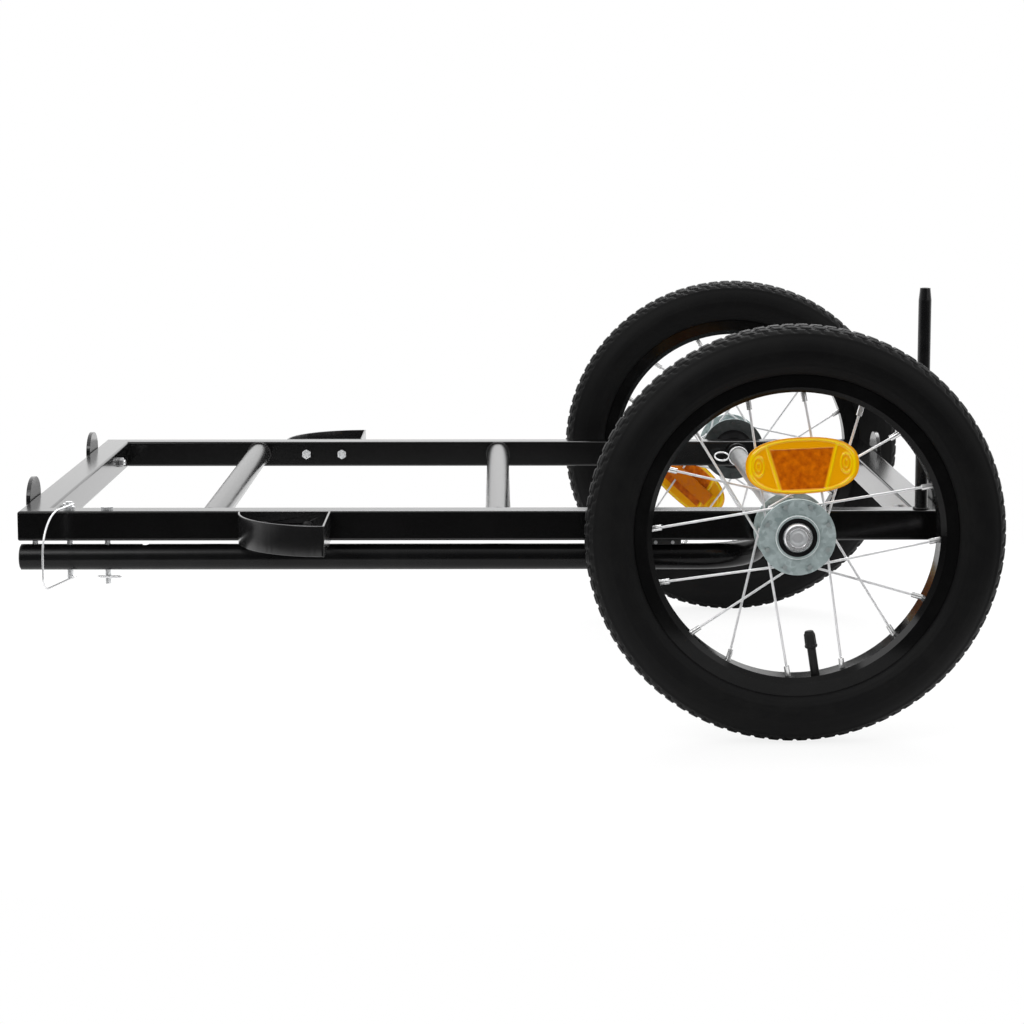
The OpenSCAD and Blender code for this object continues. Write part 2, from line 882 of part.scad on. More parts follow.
// The pull ring lies flat on the pin's head, through the knob
module pull_ring() {
    color(chrome)
        translate([tow_arm_x - (ring_d - ring_wire) / 2 + air / 2, clevis_y, ring_z])
            rotate_extrude()
                translate([(ring_d - ring_wire) / 2, 0])
                    circle(d = ring_wire, $fn = 24);
}

// A wire loop round the axle tube's right end carries a finger ring, which hangs in front of it
module axle_ring() {
    loop_r = axle_tube_d / 2 + wire_d / 2 + fit;
    ring_r = (axle_ring_d - wire_d) / 2;
    start = loop_r + 0.3 * wire_d;
    tilt = 28;
    color(chrome)
        translate([axle_x, rail_in_y - axle_ring_in, axle_z]) {
            rotate([90, 0, 0])
                wire_bend([0, 0], loop_r, 0, 360);
            translate([-start, 0, 0])
                rotate([tilt, 0, 0])
                    wire_bend([-ring_r, 0], ring_r, 0, 360);
        }
}

// Puts a wheel's piece on its axle. Children are drawn with the axle along +Y, pointing
// outwards, y = 0 in the rail's outer face, and x and z in the wheel's plane.
// $turn is how far this wheel has rolled on from the left one.
$turn = 0;
module on_axle(side) {
    $turn = side < 0 ? 0 : right_turn;
    translate([axle_x, side * frame_w / 2, axle_z])
        mirror([0, side < 0 ? 1 : 0, 0])
            children();
}

// A point in the wheel's plane at radius r and angle a, at place w along the axle
function on_wheel(r, a, w) = [r * cos(a + $turn), w, r * sin(a + $turn)];

// The tyre's section: a round casing, open at the rim, with a bead on either side
module tyre(side) {
    bead_out = rim_w / 2 - rim_flange_t - air;
    bead_t = 4.4;
    groove_w = 0.16 * tyre_w;
    groove_r = 1.6;
    color(rubber)
        on_axle(side)
            rotate([-90, 0, 0])
                rotate_extrude($fn = 128)
                    translate([0, wheel_out])
                        difference() {
                            union() {
                                translate([casing_mid_r, 0])
                                    circle(r = casing_r, $fn = 96);
                                translate([bead_r + air, -bead_out])
                                    square([casing_r, 2 * bead_out]);
                            }
                            translate([casing_mid_r, 0])
                                circle(r = casing_r - tyre_wall, $fn = 96);
                            translate([0, bead_t - bead_out])
                                square([casing_mid_r, 2 * (bead_out - bead_t)]);
                            for (w = [-tyre_w, bead_out])
                                translate([0, w])
                                    square([edge_r + air, tyre_w - bead_out]);
                            for (w = [-groove_w, groove_w])
                                translate([casing_mid_r + sqrt(casing_r ^ 2 - w ^ 2), w])
                                    circle(r = groove_r, $fn = 24);
                        }
}

// The tube and its valve are one piece of rubber
module inner_tube(side) {
    skin = 1.2;
    tube_r = casing_r - tyre_wall - 2 * air;
    stem_end = 3;
    color(rubber)
        on_axle(side)
            difference() {
                union() {
                    rotate([-90, 0, 0])
                        rotate_extrude($fn = 128)
                            translate([casing_mid_r, wheel_out])
                                circle(r = tube_r);
                    rod(on_wheel(casing_mid_r - tube_r + skin, valve_angle, wheel_out),
                        on_wheel(rim_in_r - valve_show + stem_end, valve_angle, wheel_out), valve_d);
                }
                rotate([-90, 0, 0])
                    rotate_extrude($fn = 128)
                        translate([casing_mid_r, wheel_out])
                            circle(r = tube_r - skin);
            }
}

module valve_cap(side) {
    end_r = rim_in_r - valve_show;
    cap_top = 2.9;
    color(rubber)
        on_axle(side)
            difference() {
                rod(on_wheel(end_r + valve_cap_len, valve_angle, wheel_out),
                    on_wheel(end_r, valve_angle, wheel_out), valve_cap_d);
                rod(on_wheel(end_r + valve_cap_len + through, valve_angle, wheel_out),
                    on_wheel(end_r + cap_top, valve_angle, wheel_out), valve_d + 2 * fit);
            }
}

// Spoke i of a flange: its head is in one of the flange's eight holes, outside the hub, and it
// runs inside the flange to the rim. Even and odd spokes lead opposite ways and cross.
function spoke_way(i) = i % 2 == 0 ? 1 : -1;
function group_turn(outer, i) = floor(i / 2) * 2 * hole_step + (outer ? 0 : hole_step);
function head_angle(outer, i) =
    group_turn(outer, i) + hole_step * (outer ? spoke_way(i) * 1.5 : spoke_way(i) > 0 ? 2 : -1);
function rim_angle(outer, i) =
    spoke_angle + group_turn(outer, i) + spoke_way(i) * (outer ? outer_step : -inner_step);
function flange_place(outer) = outer ? flange_out : flange_in;
function head_side(outer) = outer ? 1 : -1;
function head_place(outer, i) =
    flange_place(outer) - head_side(outer) * (spoke_lift + (spoke_way(i) > 0 ? spoke_cross : 0));
function spoke_foot(outer, i) =
    on_wheel(spoke_circle_r, head_angle(outer, i), head_place(outer, i));
function spoke_end(outer, i) =
    on_wheel(rim_in_r, rim_angle(outer, i),
        wheel_out + head_side(outer) * (nipple_w - spoke_way(i) * nipple_stagger));
function spoke_unit(outer, i) =
    (spoke_end(outer, i) - spoke_foot(outer, i)) / norm(spoke_end(outer, i) - spoke_foot(outer, i));

// Every spoke in turn, as [outer flange or not, number on its flange]
spoke_list = [for (outer = [true, false], i = [0:2 * spoke_groups - 1]) [outer, i]];

// A spoke is a straight wire with a neck through its hole and a flat head behind the flange
module spokes(side) {
    neck_d = 0.8 * spoke_d;
    head_d = 1.9 * spoke_d;
    head_t = spoke_d / 2;
    color(chrome)
        on_axle(side)
            for (s = spoke_list) {
                foot = spoke_foot(s[0], s[1]);
                face = flange_place(s[0]) + head_side(s[0]) * (flange_t / 2 + air);
                under = [foot.x, face, foot.z];
                top = [foot.x, face + head_side(s[0]) * head_t, foot.z];
                rod(foot - spoke_unit(s[0], s[1]) * spoke_d / 2, spoke_end(s[0], s[1]), spoke_d);
                rod(foot, (under + top) / 2, neck_d);
                rod(under, top, head_d);
            }
}

module nipples(side) {
    color(chrome)
        on_axle(side)
            for (s = spoke_list) {
                end = spoke_end(s[0], s[1]);
                way = spoke_unit(s[0], s[1]);
                seat = end + way * (rim_base + 1.4);
                difference() {
                    union() {
                        rod(end - way * nipple_len, seat + way * nipple_head_t / 2, nipple_d);
                        rod(seat, seat + way * nipple_head_t, nipple_head_d);
                    }
                    rod(end - way * (nipple_len + through), end + way * fit, spoke_d + 2 * fit);
                }
            }
}

module rim(side) {
    half = rim_w / 2;
    shelf = half - 6.5;
    outline = [[rim_in_r, 0], [rim_in_r, half - 4], [rim_in_r + 5, half], [edge_r, half],
        [edge_r, half - rim_flange_t], [bead_r, half - rim_flange_t], [bead_r, shelf], [strip_r + 1.6, shelf - 0.4],
        [rim_in_r + rim_base, shelf - 1.6], [rim_in_r + rim_base, 0]];
    color("#101010")
        on_axle(side)
            difference() {
                rotate([-90, 0, 0])
                    rotate_extrude($fn = 128)
                        translate([0, wheel_out])
                            polygon(concat(outline, [for (i = [len(outline) - 2:-1:1])
                                [outline[i].x, -outline[i].y]]));
                for (s = spoke_list) {
                    end = spoke_end(s[0], s[1]);
                    way = spoke_unit(s[0], s[1]);
                    rod(end - way * 4, end + way * 6, nipple_d + 2 * loose);
                }
                rod(on_wheel(rim_in_r - through, valve_angle, wheel_out),
                    on_wheel(bead_r, valve_angle, wheel_out), valve_d + 2 * loose);
            }
}

// The strip covers the nipples' heads under the tube
module rim_strip(side) {
    half = rim_w / 2 - 8;
    color(rubber)
        on_axle(side)
            difference() {
                ring_y(2 * strip_r + 1.6, 2 * strip_r, wheel_out - half, wheel_out + half);
                rod(on_wheel(rim_in_r, valve_angle, wheel_out),
                    on_wheel(bead_r, valve_angle, wheel_out), valve_d + 2 * loose);
            }
}

module hub(side) {
    barrel = barrel_d / 2;
    seat = bearing_d / 2;
    shoulder = 2;
    bore = seat - shoulder;
    cone = 4;
    end_in = flange_in - flange_t / 2;
    step_in = flange_in + flange_t / 2;
    end_out = flange_out + flange_t / 2;
    color(zinc)
        on_axle(side)
            difference() {
                turned([[seat, end_in], [flange_d / 2, end_in], [flange_d / 2, step_in],
                    [barrel + cone, step_in], [barrel, step_in + cone],
                    [barrel, end_out - flange_t - cone], [barrel + cone, end_out - flange_t],
                    [flange_d / 2, end_out - flange_t], [flange_d / 2, end_out],
                    [raised_d / 2, end_out], [raised_d / 2, hub_end], [seal_d / 2, hub_end],
                    [seal_d / 2, hub_end - seal_t], [recess_r, hub_end - seal_t],
                    [recess_r, head_start - air], [seat, head_start - air], [seat, seat_out],
                    [bore, seat_out], [bore, seat_in + bearing_w], [seat, seat_in + bearing_w]]);
                for (s = spoke_list)
                    rod(on_wheel(spoke_circle_r, head_angle(s[0], s[1]),
                        flange_place(s[0]) - flange_t),
                        on_wheel(spoke_circle_r, head_angle(s[0], s[1]),
                        flange_place(s[0]) + flange_t), spoke_hole_d);
            }
}

module bearings(side) {
    color(chrome)
        on_axle(side)
            for (from = [seat_in, seat_out])
                ring_y(bearing_d - 2 * fit, axle_d + 2 * fit, from, from + bearing_w);
}

// Two black seals: a flat ring at the outer end and a stepped cover on the inner one
module seals(side) {
    in_end = flange_in - flange_t / 2;
    mid = (cover_start + in_end) / 2;
    nose_r = collar_d / 2 + 1.5;
    step_r = cover_d / 2 - 3;
    color(rubber)
        on_axle(side) {
            ring_y(seal_d - 2 * fit, 2 * recess_r, hub_end - seal_t, hub_end - loose);
            turned([[axle_d / 2 + 2 * fit, cover_start], [nose_r, cover_start],
                [step_r, mid], [cover_d / 2, mid + 0.6], [cover_d / 2, in_end],
                [axle_d / 2 + 2 * fit, in_end]]);
        }
}

// Wheel axle with a chrome head, hollow for the release button's stem
module axle(side) {
    color(chrome)
        on_axle(side)
            turned([[stem_d / 2 + fit, -axle_grip], [axle_d / 2 - 1, -axle_grip],
                [axle_d / 2, 1 - axle_grip], [axle_d / 2, head_start],
                [axle_head_d / 2 - 1, head_start], [axle_head_d / 2, head_start + 1],
                [axle_head_d / 2, head_end - 2], [axle_head_d / 2 - 2, head_end],
                [button_d / 2 + fit, head_end], [button_d / 2 + fit, pocket_floor],
                [stem_d / 2 + fit, pocket_floor]]);
}

module button(side) {
    back = button_start;
    face = button_start + button_t;
    color(chrome)
        on_axle(side)
            turned([[0, -axle_grip + 4], [stem_d / 2, -axle_grip + 4], [stem_d / 2, back],
                [button_d / 2, back], [button_d / 2, face - 0.6], [button_d / 2 - 0.6, face],
                [button_d / 2 - 2, face], [button_d / 2 - 4, face - 0.8], [0, face - 0.8]]);
}

// Coil of the return spring, swept along a helix as rings of eight points
spring_wire = 0.7;
spring_turns = 2.5;
spring_steps = 40;
spring_sides = 8;
function spring_point(i, j, rise, low) =
    let (turn = 360 * spring_turns * i / spring_steps,
        a = 360 * j / spring_sides,
        r = button_d / 2 - 2 + spring_wire / 2 * cos(a))
    [r * cos(turn), low + rise * i / spring_steps + spring_wire / 2 * sin(a), r * sin(turn)];

module button_spring(side) {
    low = pocket_floor + spring_wire / 2 + air / 2;
    rise = button_start - spring_wire / 2 - air / 2 - low;
    n = spring_sides;
    points = [for (i = [0:spring_steps], j = [0:n - 1]) spring_point(i, j, rise, low)];
    walls = [for (i = [0:spring_steps - 1], j = [0:n - 1])
        [i * n + j, i * n + (j + 1) % n, (i + 1) * n + (j + 1) % n, (i + 1) * n + j]];
    start = [for (j = [n - 1:-1:0]) j];
    end = [for (j = [0:n - 1]) spring_steps * n + j];
    color(chrome)
        on_axle(side)
            polyhedron(points, concat(walls, [start], [end]));
}

// Puts a flat child, drawn in the XY plane, in the wheel's plane at the reflector's place,
// with its X along the rim and its top pointing outwards
module at_reflector(from, depth) {
    rotate([0, 90 - reflector_angle - $turn, 0])
        translate([0, from + depth, reflector_r])
            rotate([90, -reflector_twist, 0])
                linear_extrude(depth)
                    children();
}

// Lens outline: the part that two wide circles share, with its two tips rounded off
module lens_outline() {
    end_r = 0.3 * reflector_h;
    shoulder_x = 0.2 * reflector_len;
    hull()
        for (end = [-1, 1]) {
            translate([end * (reflector_len / 2 - end_r), 0])
                circle(r = end_r, $fn = 32);
            translate([end * shoulder_x, 0])
                intersection() {
                    circle(r = reflector_h / 2, $fn = 32);
                    square([reflector_h / 2, reflector_h], center = true);
                }
        }
}

// Channels that the outer spokes run in
module spoke_channels() {
    for (i = [0:2 * spoke_groups - 1])
        rod(spoke_foot(true, i), spoke_end(true, i), spoke_d + 4 * loose);
}

module reflector(side) {
    color(amber)
        on_axle(side)
            difference() {
                at_reflector(lens_in, reflector_t)
                    lens_outline();
                spoke_channels();
            }
}

module reflector_clip(side) {
    clip_len = 0.62 * reflector_len;
    clip_h = 0.3 * reflector_h;
    color(amber)
        on_axle(side)
            difference() {
                at_reflector(lens_in - clip_depth, clip_depth)
                    square([clip_len, clip_h], center = true);
                spoke_channels();
            }
}

rail_left();
rail_right();
member_front();
member_rear();
cross_tube_front();
cross_tube_middle();
axle_tube();
axle_collars();
axle_ring();
stop_tabs_front();
stop_tabs_rear();
tab_bolts();
tab_nuts();
bracket_left();
bracket_right();
bracket_bolts();
bracket_nuts();
flag_post();
tow_spacer();
tow_rest_pad();
pad_screws();
pivot_pin();
pivot_clip();
tow_tube();
tow_end_cap();
hitch_clevis();
lock_pin();
lock_wire();
hitch_pin();
pull_ring();
tyre(left);  // tyre_left
inner_tube(left);  // inner_tube_left
rim(left);  // rim_left
rim_strip(left);  // rim_strip_left
spokes(left);  // spokes_left
nipples(left);  // nipples_left
hub(left);  // hub_left
bearings(left);  // bearings_left
seals(left);  // seals_left
valve_cap(left);  // valve_cap_left
reflector(left);  // reflector_left
reflector_clip(left);  // reflector_clip_left
axle(left);  // axle_left
button(left);  // button_left
button_spring(left);  // button_spring_left
tyre(right);  // tyre_right
inner_tube(right);  // inner_tube_right
rim(right);  // rim_right
rim_strip(right);  // rim_strip_right
spokes(right);  // spokes_right
nipples(right);  // nipples_right
hub(right);  // hub_right
bearings(right);  // bearings_right
seals(right);  // seals_right
valve_cap(right);  // valve_cap_right
reflector(right);  // reflector_right
reflector_clip(right);  // reflector_clip_right
axle(right);  // axle_right
button(right);  // button_right
button_spring(right);  // button_spring_right
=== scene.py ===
import math

import bpy
import numpy as np
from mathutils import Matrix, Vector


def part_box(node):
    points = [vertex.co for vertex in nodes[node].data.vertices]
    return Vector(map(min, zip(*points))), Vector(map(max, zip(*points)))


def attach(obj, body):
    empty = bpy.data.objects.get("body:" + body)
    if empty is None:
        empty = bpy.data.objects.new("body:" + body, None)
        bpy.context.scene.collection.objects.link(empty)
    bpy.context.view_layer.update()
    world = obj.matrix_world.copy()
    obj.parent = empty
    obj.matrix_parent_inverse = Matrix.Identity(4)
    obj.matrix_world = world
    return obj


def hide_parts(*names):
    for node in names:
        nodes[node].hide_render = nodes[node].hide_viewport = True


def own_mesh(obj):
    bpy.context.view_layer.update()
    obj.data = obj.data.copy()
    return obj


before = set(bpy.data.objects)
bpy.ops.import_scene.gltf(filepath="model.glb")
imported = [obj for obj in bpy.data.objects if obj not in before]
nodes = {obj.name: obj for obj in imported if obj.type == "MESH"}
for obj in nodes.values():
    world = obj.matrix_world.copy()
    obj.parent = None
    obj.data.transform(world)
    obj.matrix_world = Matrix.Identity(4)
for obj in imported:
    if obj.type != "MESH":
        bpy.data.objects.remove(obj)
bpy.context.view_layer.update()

# ---- The room it is photographed in ----
# A camera a little above the deck, in front of the left wheel, a pale round floor under the
# trailer, and a studio whose back wall and ceiling are white while the room behind the camera
# stays dim.
camera = bpy.data.objects.new("camera", bpy.data.cameras.new("camera"))
bpy.context.collection.objects.link(camera)
# it is tipped down and turned right by degrees, and the two lengths are in the photo's pixels
tipped_down, turned_right = 6.7, 0.34
photo_width, focal_length = 1024, 2409.4
camera.location = (-0.0052, -2.65669, 0.60274)
camera.rotation_euler = (math.radians(90 - tipped_down), 0.0, math.radians(-turned_right))
camera.data.sensor_width = 36.0
camera.data.lens = camera.data.sensor_width * focal_length / photo_width
camera.data.shift_y = -0.1
bpy.context.scene.camera = camera
bpy.context.scene.view_settings.view_transform = "Standard"


def softbox(name, place, aim, width, watts):
    """A square lamp of that width in metres at place, turned so that its -Z axis points at aim:
    tipped up by the angle between that way and straight down, then swung round to it."""
    lamp = bpy.data.lights.new(name, "AREA")
    lamp.size = width
    lamp.energy = watts
    stand = bpy.data.objects.new(name, lamp)
    stand.location = place
    way = np.array(aim, float) - np.array(place, float)
    stand.rotation_euler = (math.acos(-way[2] / np.linalg.norm(way)), 0.0,
                            math.atan2(way[1], way[0]) - math.pi / 2)
    bpy.context.collection.objects.link(stand)


softbox("key_lamp", (-1.6, -2.2, 2.4), (0.1, 0.0, 0.2), 1.6, 42)
softbox("fill_lamp", (2.2, -2.0, 1.6), (0.2, 0.0, 0.2), 1.8, 16)
softbox("back_lamp", (0.4, 2.4, 2.6), (0.0, 0.0, 0.2), 2.0, 60)


def add_node(tree, kind, inputs=None, **settings):
    """A new shader node of that kind. settings are its own properties, set first, and inputs
    gives for a socket's name or number the output that is linked to it, or its fixed value."""
    made = tree.nodes.new("ShaderNode" + kind)
    for name, value in settings.items():
        setattr(made, name, value)
    for socket, value in (inputs or {}).items():
        if isinstance(value, bpy.types.NodeSocket):
            tree.links.new(value, made.inputs[socket])
        else:
            made.inputs[socket].default_value = value
    return made


room = bpy.data.worlds.new("studio")
bpy.context.scene.world = room
room.use_nodes = True
tree = room.node_tree
sky = tree.nodes["Background"]
sky.inputs["Color"].default_value = (1, 1, 1, 1)
way = add_node(tree, "TexCoord")
split = add_node(tree, "SeparateXYZ", {0: way.outputs["Generated"]})
# for a way that goes y to the back and z up, the room's brightness is 0.45 + 0.9 y + 0.75 z,
# kept between 0 and 1 and then spread from 0.05 to 1.4; straight to the camera, and through what
# lets light pass, it is plain white
depth = add_node(tree, "Math", {0: split.outputs["Y"], 1: 0.9, 2: 0.45},
                 operation="MULTIPLY_ADD")
height = add_node(tree, "Math", {0: split.outputs["Z"], 1: 0.75, 2: depth.outputs[0]},
                  operation="MULTIPLY_ADD")
shade = add_node(tree, "MapRange", {"Value": height.outputs[0], "To Min": 0.05, "To Max": 1.4})
rays = add_node(tree, "LightPath")
seen = add_node(tree, "Math", {0: rays.outputs["Is Camera Ray"],
                               1: rays.outputs["Is Transmission Ray"]}, operation="MAXIMUM")
white = add_node(tree, "Mix", {"Factor": seen.outputs[0], "A": shade.outputs["Result"], "B": 1.0})
tree.links.new(white.outputs["Result"], sky.inputs["Strength"])

# The floor is a white painted disc: the camera sees it almost as bright as the wall, with a
# faint shadow of the trailer on it.
floor_sides = 96
floor_middle_y = 0.12
turn = np.linspace(0, 2 * np.pi, floor_sides, endpoint=False)
disc = bpy.data.meshes.new("floor")
disc.from_pydata(
    np.column_stack([np.cos(turn), floor_middle_y + np.sin(turn), 0 * turn]).tolist(),
    [], [list(range(floor_sides))])
floor = bpy.data.objects.new("floor", disc)
bpy.context.collection.objects.link(floor)
floor_paint = bpy.data.materials.new("floor_white")
floor_paint.use_nodes = True
tree = floor_paint.node_tree
shader = tree.nodes["Principled BSDF"]
shader.inputs["Base Color"].default_value = (0.9, 0.9, 0.9, 1)
shader.inputs["Roughness"].default_value = 0.9
rays = add_node(tree, "LightPath")
glow_share = add_node(tree, "Math", {0: rays.outputs["Is Camera Ray"], 1: 0.85},
                      operation="MULTIPLY")
glow = add_node(tree, "Emission")
blend = add_node(tree, "MixShader",
                 {0: glow_share.outputs[0], 1: shader.outputs[0], 2: glow.outputs[0]})
tree.links.new(blend.outputs[0], tree.nodes["Material Output"].inputs["Surface"])
disc.materials.append(floor_paint)


# ---- Side rails, end members and cross tubes ----
# The rails and members are rectangular steel tube, mitred and welded at the corners. Two round
# tubes brace them. All of it is sprayed in one go with a glossy black powder coat.
def new_group(name, inputs, outputs):
    """An empty shader node group with those sockets, given as their names with their kinds, and
    its two nodes that hand in the inputs and take the outputs."""
    group = bpy.data.node_groups.new(name, "ShaderNodeTree")
    for way, sockets in (("INPUT", inputs), ("OUTPUT", outputs)):
        for socket, kind in sockets.items():
            group.interface.new_socket(socket, in_out=way, socket_type="NodeSocket" + kind)
    return group, group.nodes.new("NodeGroupInput"), group.nodes.new("NodeGroupOutput")


def worn_surface():
    """The node group of a used surface. A broad noise gives the patches that hands and dust
    have dulled, a fine noise the grain, and the grain's height tilts the normal."""
    group, given, given_out = new_group(
        "worn_surface",
        {"Colour": "Color", "Worn Colour": "Color", "Roughness": "Float",
         "Worn Roughness": "Float", "Patch Scale": "Float", "Grain Scale": "Float",
         "Grain Height": "Float"},
        {"Colour": "Color", "Roughness": "Float", "Normal": "Vector"})
    place = add_node(group, "TexCoord").outputs["Object"]
    patches = add_node(group, "TexNoise", {"Vector": place, "Scale": given.outputs["Patch Scale"],
                                           "Detail": 6, "Roughness": 0.65})
    grain = add_node(group, "TexNoise", {"Vector": place, "Scale": given.outputs["Grain Scale"],
                                         "Detail": 3})
    clean_up_to, dull_from = 0.42, 0.72
    mask = add_node(group, "MapRange", {"Value": patches.outputs["Fac"], "From Min": clean_up_to,
                                        "From Max": dull_from},
                    interpolation_type="SMOOTHSTEP").outputs["Result"]
    colour = add_node(group, "Mix", {"Factor": mask, "A": given.outputs["Colour"],
                                     "B": given.outputs["Worn Colour"]}, data_type="RGBA")
    rough = add_node(group, "Mix", {"Factor": mask, "A": given.outputs["Roughness"],
                                    "B": given.outputs["Worn Roughness"]})
    grain_depth = 0.0002
    bump = add_node(group, "Bump", {"Height": grain.outputs["Fac"], "Distance": grain_depth,
                                    "Strength": given.outputs["Grain Height"]})
    group.links.new(colour.outputs["Result"], given_out.inputs["Colour"])
    group.links.new(rough.outputs["Result"], given_out.inputs["Roughness"])
    group.links.new(bump.outputs["Normal"], given_out.inputs["Normal"])
    return group


wear = worn_surface()


def finish(name, colour, worn, rough, patch, grain, height, **sockets):
    """A material of one Principled shader behind the worn surface. colour and worn are the clean
    and the dulled colour, rough their two roughnesses, patch and grain the scales of the two
    noises, height the grain's strength, and sockets the shader's own fixed ones."""
    paint = bpy.data.materials.new(name)
    paint.use_nodes = True
    tree = paint.node_tree
    shader = tree.nodes["Principled BSDF"]
    skin = add_node(tree, "Group", {"Colour": (*colour, 1), "Worn Colour": (*worn, 1),
                                    "Roughness": rough[0], "Worn Roughness": rough[1],
                                    "Patch Scale": patch, "Grain Scale": grain,
                                    "Grain Height": height}, node_tree=wear)
    tree.links.new(skin.outputs["Colour"], shader.inputs["Base Color"])
    tree.links.new(skin.outputs["Roughness"], shader.inputs["Roughness"])
    tree.links.new(skin.outputs["Normal"], shader.inputs["Normal"])
    for socket, value in sockets.items():
        shader.inputs[socket.replace("_", " ")].default_value = value
    return paint


def dress(paint, *names):
    """Gives the CAD nodes of those names that material."""
    for name in names:
        for slot in nodes[name].material_slots:
            slot.material = paint


powder_coat = finish("black_powder_coat", (0.0026, 0.0026, 0.0027), (0.0038, 0.0038, 0.0039),
                     (0.34, 0.44), patch=14, grain=900, height=0.08,
                     Specular_IOR_Level=0.0, Coat_Weight=1.0, Coat_IOR=1.4,
                     Coat_Roughness=0.17)
dress(powder_coat, "rail_left", "rail_right", "member_front", "member_rear")
brace_coat = finish("black_brace_coat", (0.008, 0.008, 0.0082), (0.011, 0.011, 0.0112),
                    (0.34, 0.44), patch=20, grain=900, height=0.04,
                    Specular_IOR_Level=0.0, Coat_Weight=1.0, Coat_IOR=1.5,
                    Coat_Roughness=0.25)
dress(brace_coat, "cross_tube_front", "cross_tube_middle")


def grid_mesh(name, points, around, paint, body, instead_of=()):
    """A piece from points[i, j], an array of a grid: faces join neighbours, always round in j,
    and round in i too where around is true, otherwise its two ends are closed with a fan. Three
    times its volume is the sum of area x normal . middle over the faces, and where that comes out
    negative the faces point inwards and are turned."""
    rows, columns = points.shape[:2]
    index = np.arange(rows * columns).reshape(rows, columns)
    after = np.roll(index, -1, axis=1)
    if around:
        quads = np.stack([index, after, np.roll(after, -1, axis=0),
                          np.roll(index, -1, axis=0)], -1)
        faces = quads.reshape(-1, 4).tolist()
        spots = points.reshape(-1, 3)
    else:
        quads = np.stack([index[:-1], after[:-1], after[1:], index[1:]], -1)
        tips = rows * columns + np.arange(2)
        first = np.column_stack([after[0], index[0], np.full(columns, tips[0])])
        last = np.column_stack([index[-1], after[-1], np.full(columns, tips[1])])
        faces = quads.reshape(-1, 4).tolist() + first.tolist() + last.tolist()
        spots = np.vstack([points.reshape(-1, 3), points[0].mean(0), points[-1].mean(0)])
    shape = bpy.data.meshes.new(name)
    shape.from_pydata(spots.tolist(), [], faces)
    shape.update()
    facing = np.zeros(len(shape.polygons) * 3)
    shape.polygons.foreach_get("normal", facing)
    middles = np.zeros(len(shape.polygons) * 3)
    shape.polygons.foreach_get("center", middles)
    areas = np.zeros(len(shape.polygons))
    shape.polygons.foreach_get("area", areas)
    if (facing.reshape(-1, 3) * middles.reshape(-1, 3)).sum(1) @ areas < 0:
        shape.flip_normals()
    shape.shade_smooth()
    piece = bpy.data.objects.new(name, shape)
    bpy.context.collection.objects.link(piece)
    shape.materials.append(paint)
    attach(piece, body)
    if instead_of:
        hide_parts(*instead_of)
    return piece


def weld_bead(name, middle, axis, radius, bead, ripples, body):
    """A weld round a tube: a ring of that radius about axis through middle. The radius of the
    bead itself is bead x (1 + swelling x cos(ripples x turn)), as the puddle freezes."""
    swelling = 0.16
    along = np.linspace(0, 2 * np.pi, ripples * 6, endpoint=False)[:, None]
    round_it = np.linspace(0, 2 * np.pi, 10, endpoint=False)[None, :]
    swell = bead * (1 + swelling * np.cos(ripples * along))
    out = radius + swell * np.cos(round_it)
    side = swell * np.sin(round_it) + 0 * along
    order = {"x": (0, 1, 2), "y": (1, 2, 0), "z": (2, 0, 1)}[axis]
    points = np.zeros(out.shape + (3,))
    points[..., order[0]] = side
    points[..., order[1]] = out * np.cos(along)
    points[..., order[2]] = out * np.sin(along)
    grid_mesh(name, points + np.array(middle), True, powder_coat, body)


# a bead's middle stands 0.4 mm off its tube, and at this share of the way to the rail's face
weld_proud = 0.0004
weld_short = 0.9975
brace_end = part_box("cross_tube_front")[1].y * weld_short
for name in ("cross_tube_front", "cross_tube_middle"):
    low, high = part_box(name)
    for side, end in (("left", -brace_end), ("right", brace_end)):
        weld_bead(f"weld_{name}_{side}", ((low.x + high.x) / 2, end, (low.z + high.z) / 2),
                  axis="y", radius=(high.x - low.x) / 2 + weld_proud, bead=0.0016, ripples=30,
                  body="frame")


# ---- Axle tube, its collars and its wire ring ----
# One zinc plated tube carries both wheels. It passes through the rails between short welded
# collars, and a ring of spring wire hangs from it beside the right one.
def soften(width, *names):
    """Rounds the sharp edges of CAD nodes by width metres: doubles welded, then a bevel on every
    edge that turns by more than the sharp angle."""
    sharp_angle = math.radians(50)
    for name in names:
        weld = nodes[name].modifiers.new("weld", "WELD")
        weld.merge_threshold = 0.00001
        edge = nodes[name].modifiers.new("edge", "BEVEL")
        edge.width = width
        edge.segments = 3
        edge.limit_method = "ANGLE"
        edge.angle_limit = sharp_angle
        edge.harden_normals = True


bright_tube = finish("bright_zinc_tube", (0.31, 0.31, 0.31), (0.24, 0.24, 0.24), (0.36, 0.5),
                     patch=30, grain=900, height=0.15, Metallic=0.7)
dress(bright_tube, "axle_tube")
dress(powder_coat, "axle_collars")
soften(0.0007, "axle_collars")
bright_wire = finish("bright_spring_wire", (0.8, 0.8, 0.81), (0.68, 0.68, 0.69), (0.24, 0.34),
                     patch=60, grain=1500, height=0.03, Metallic=0.55)
dress(bright_wire, "axle_ring")


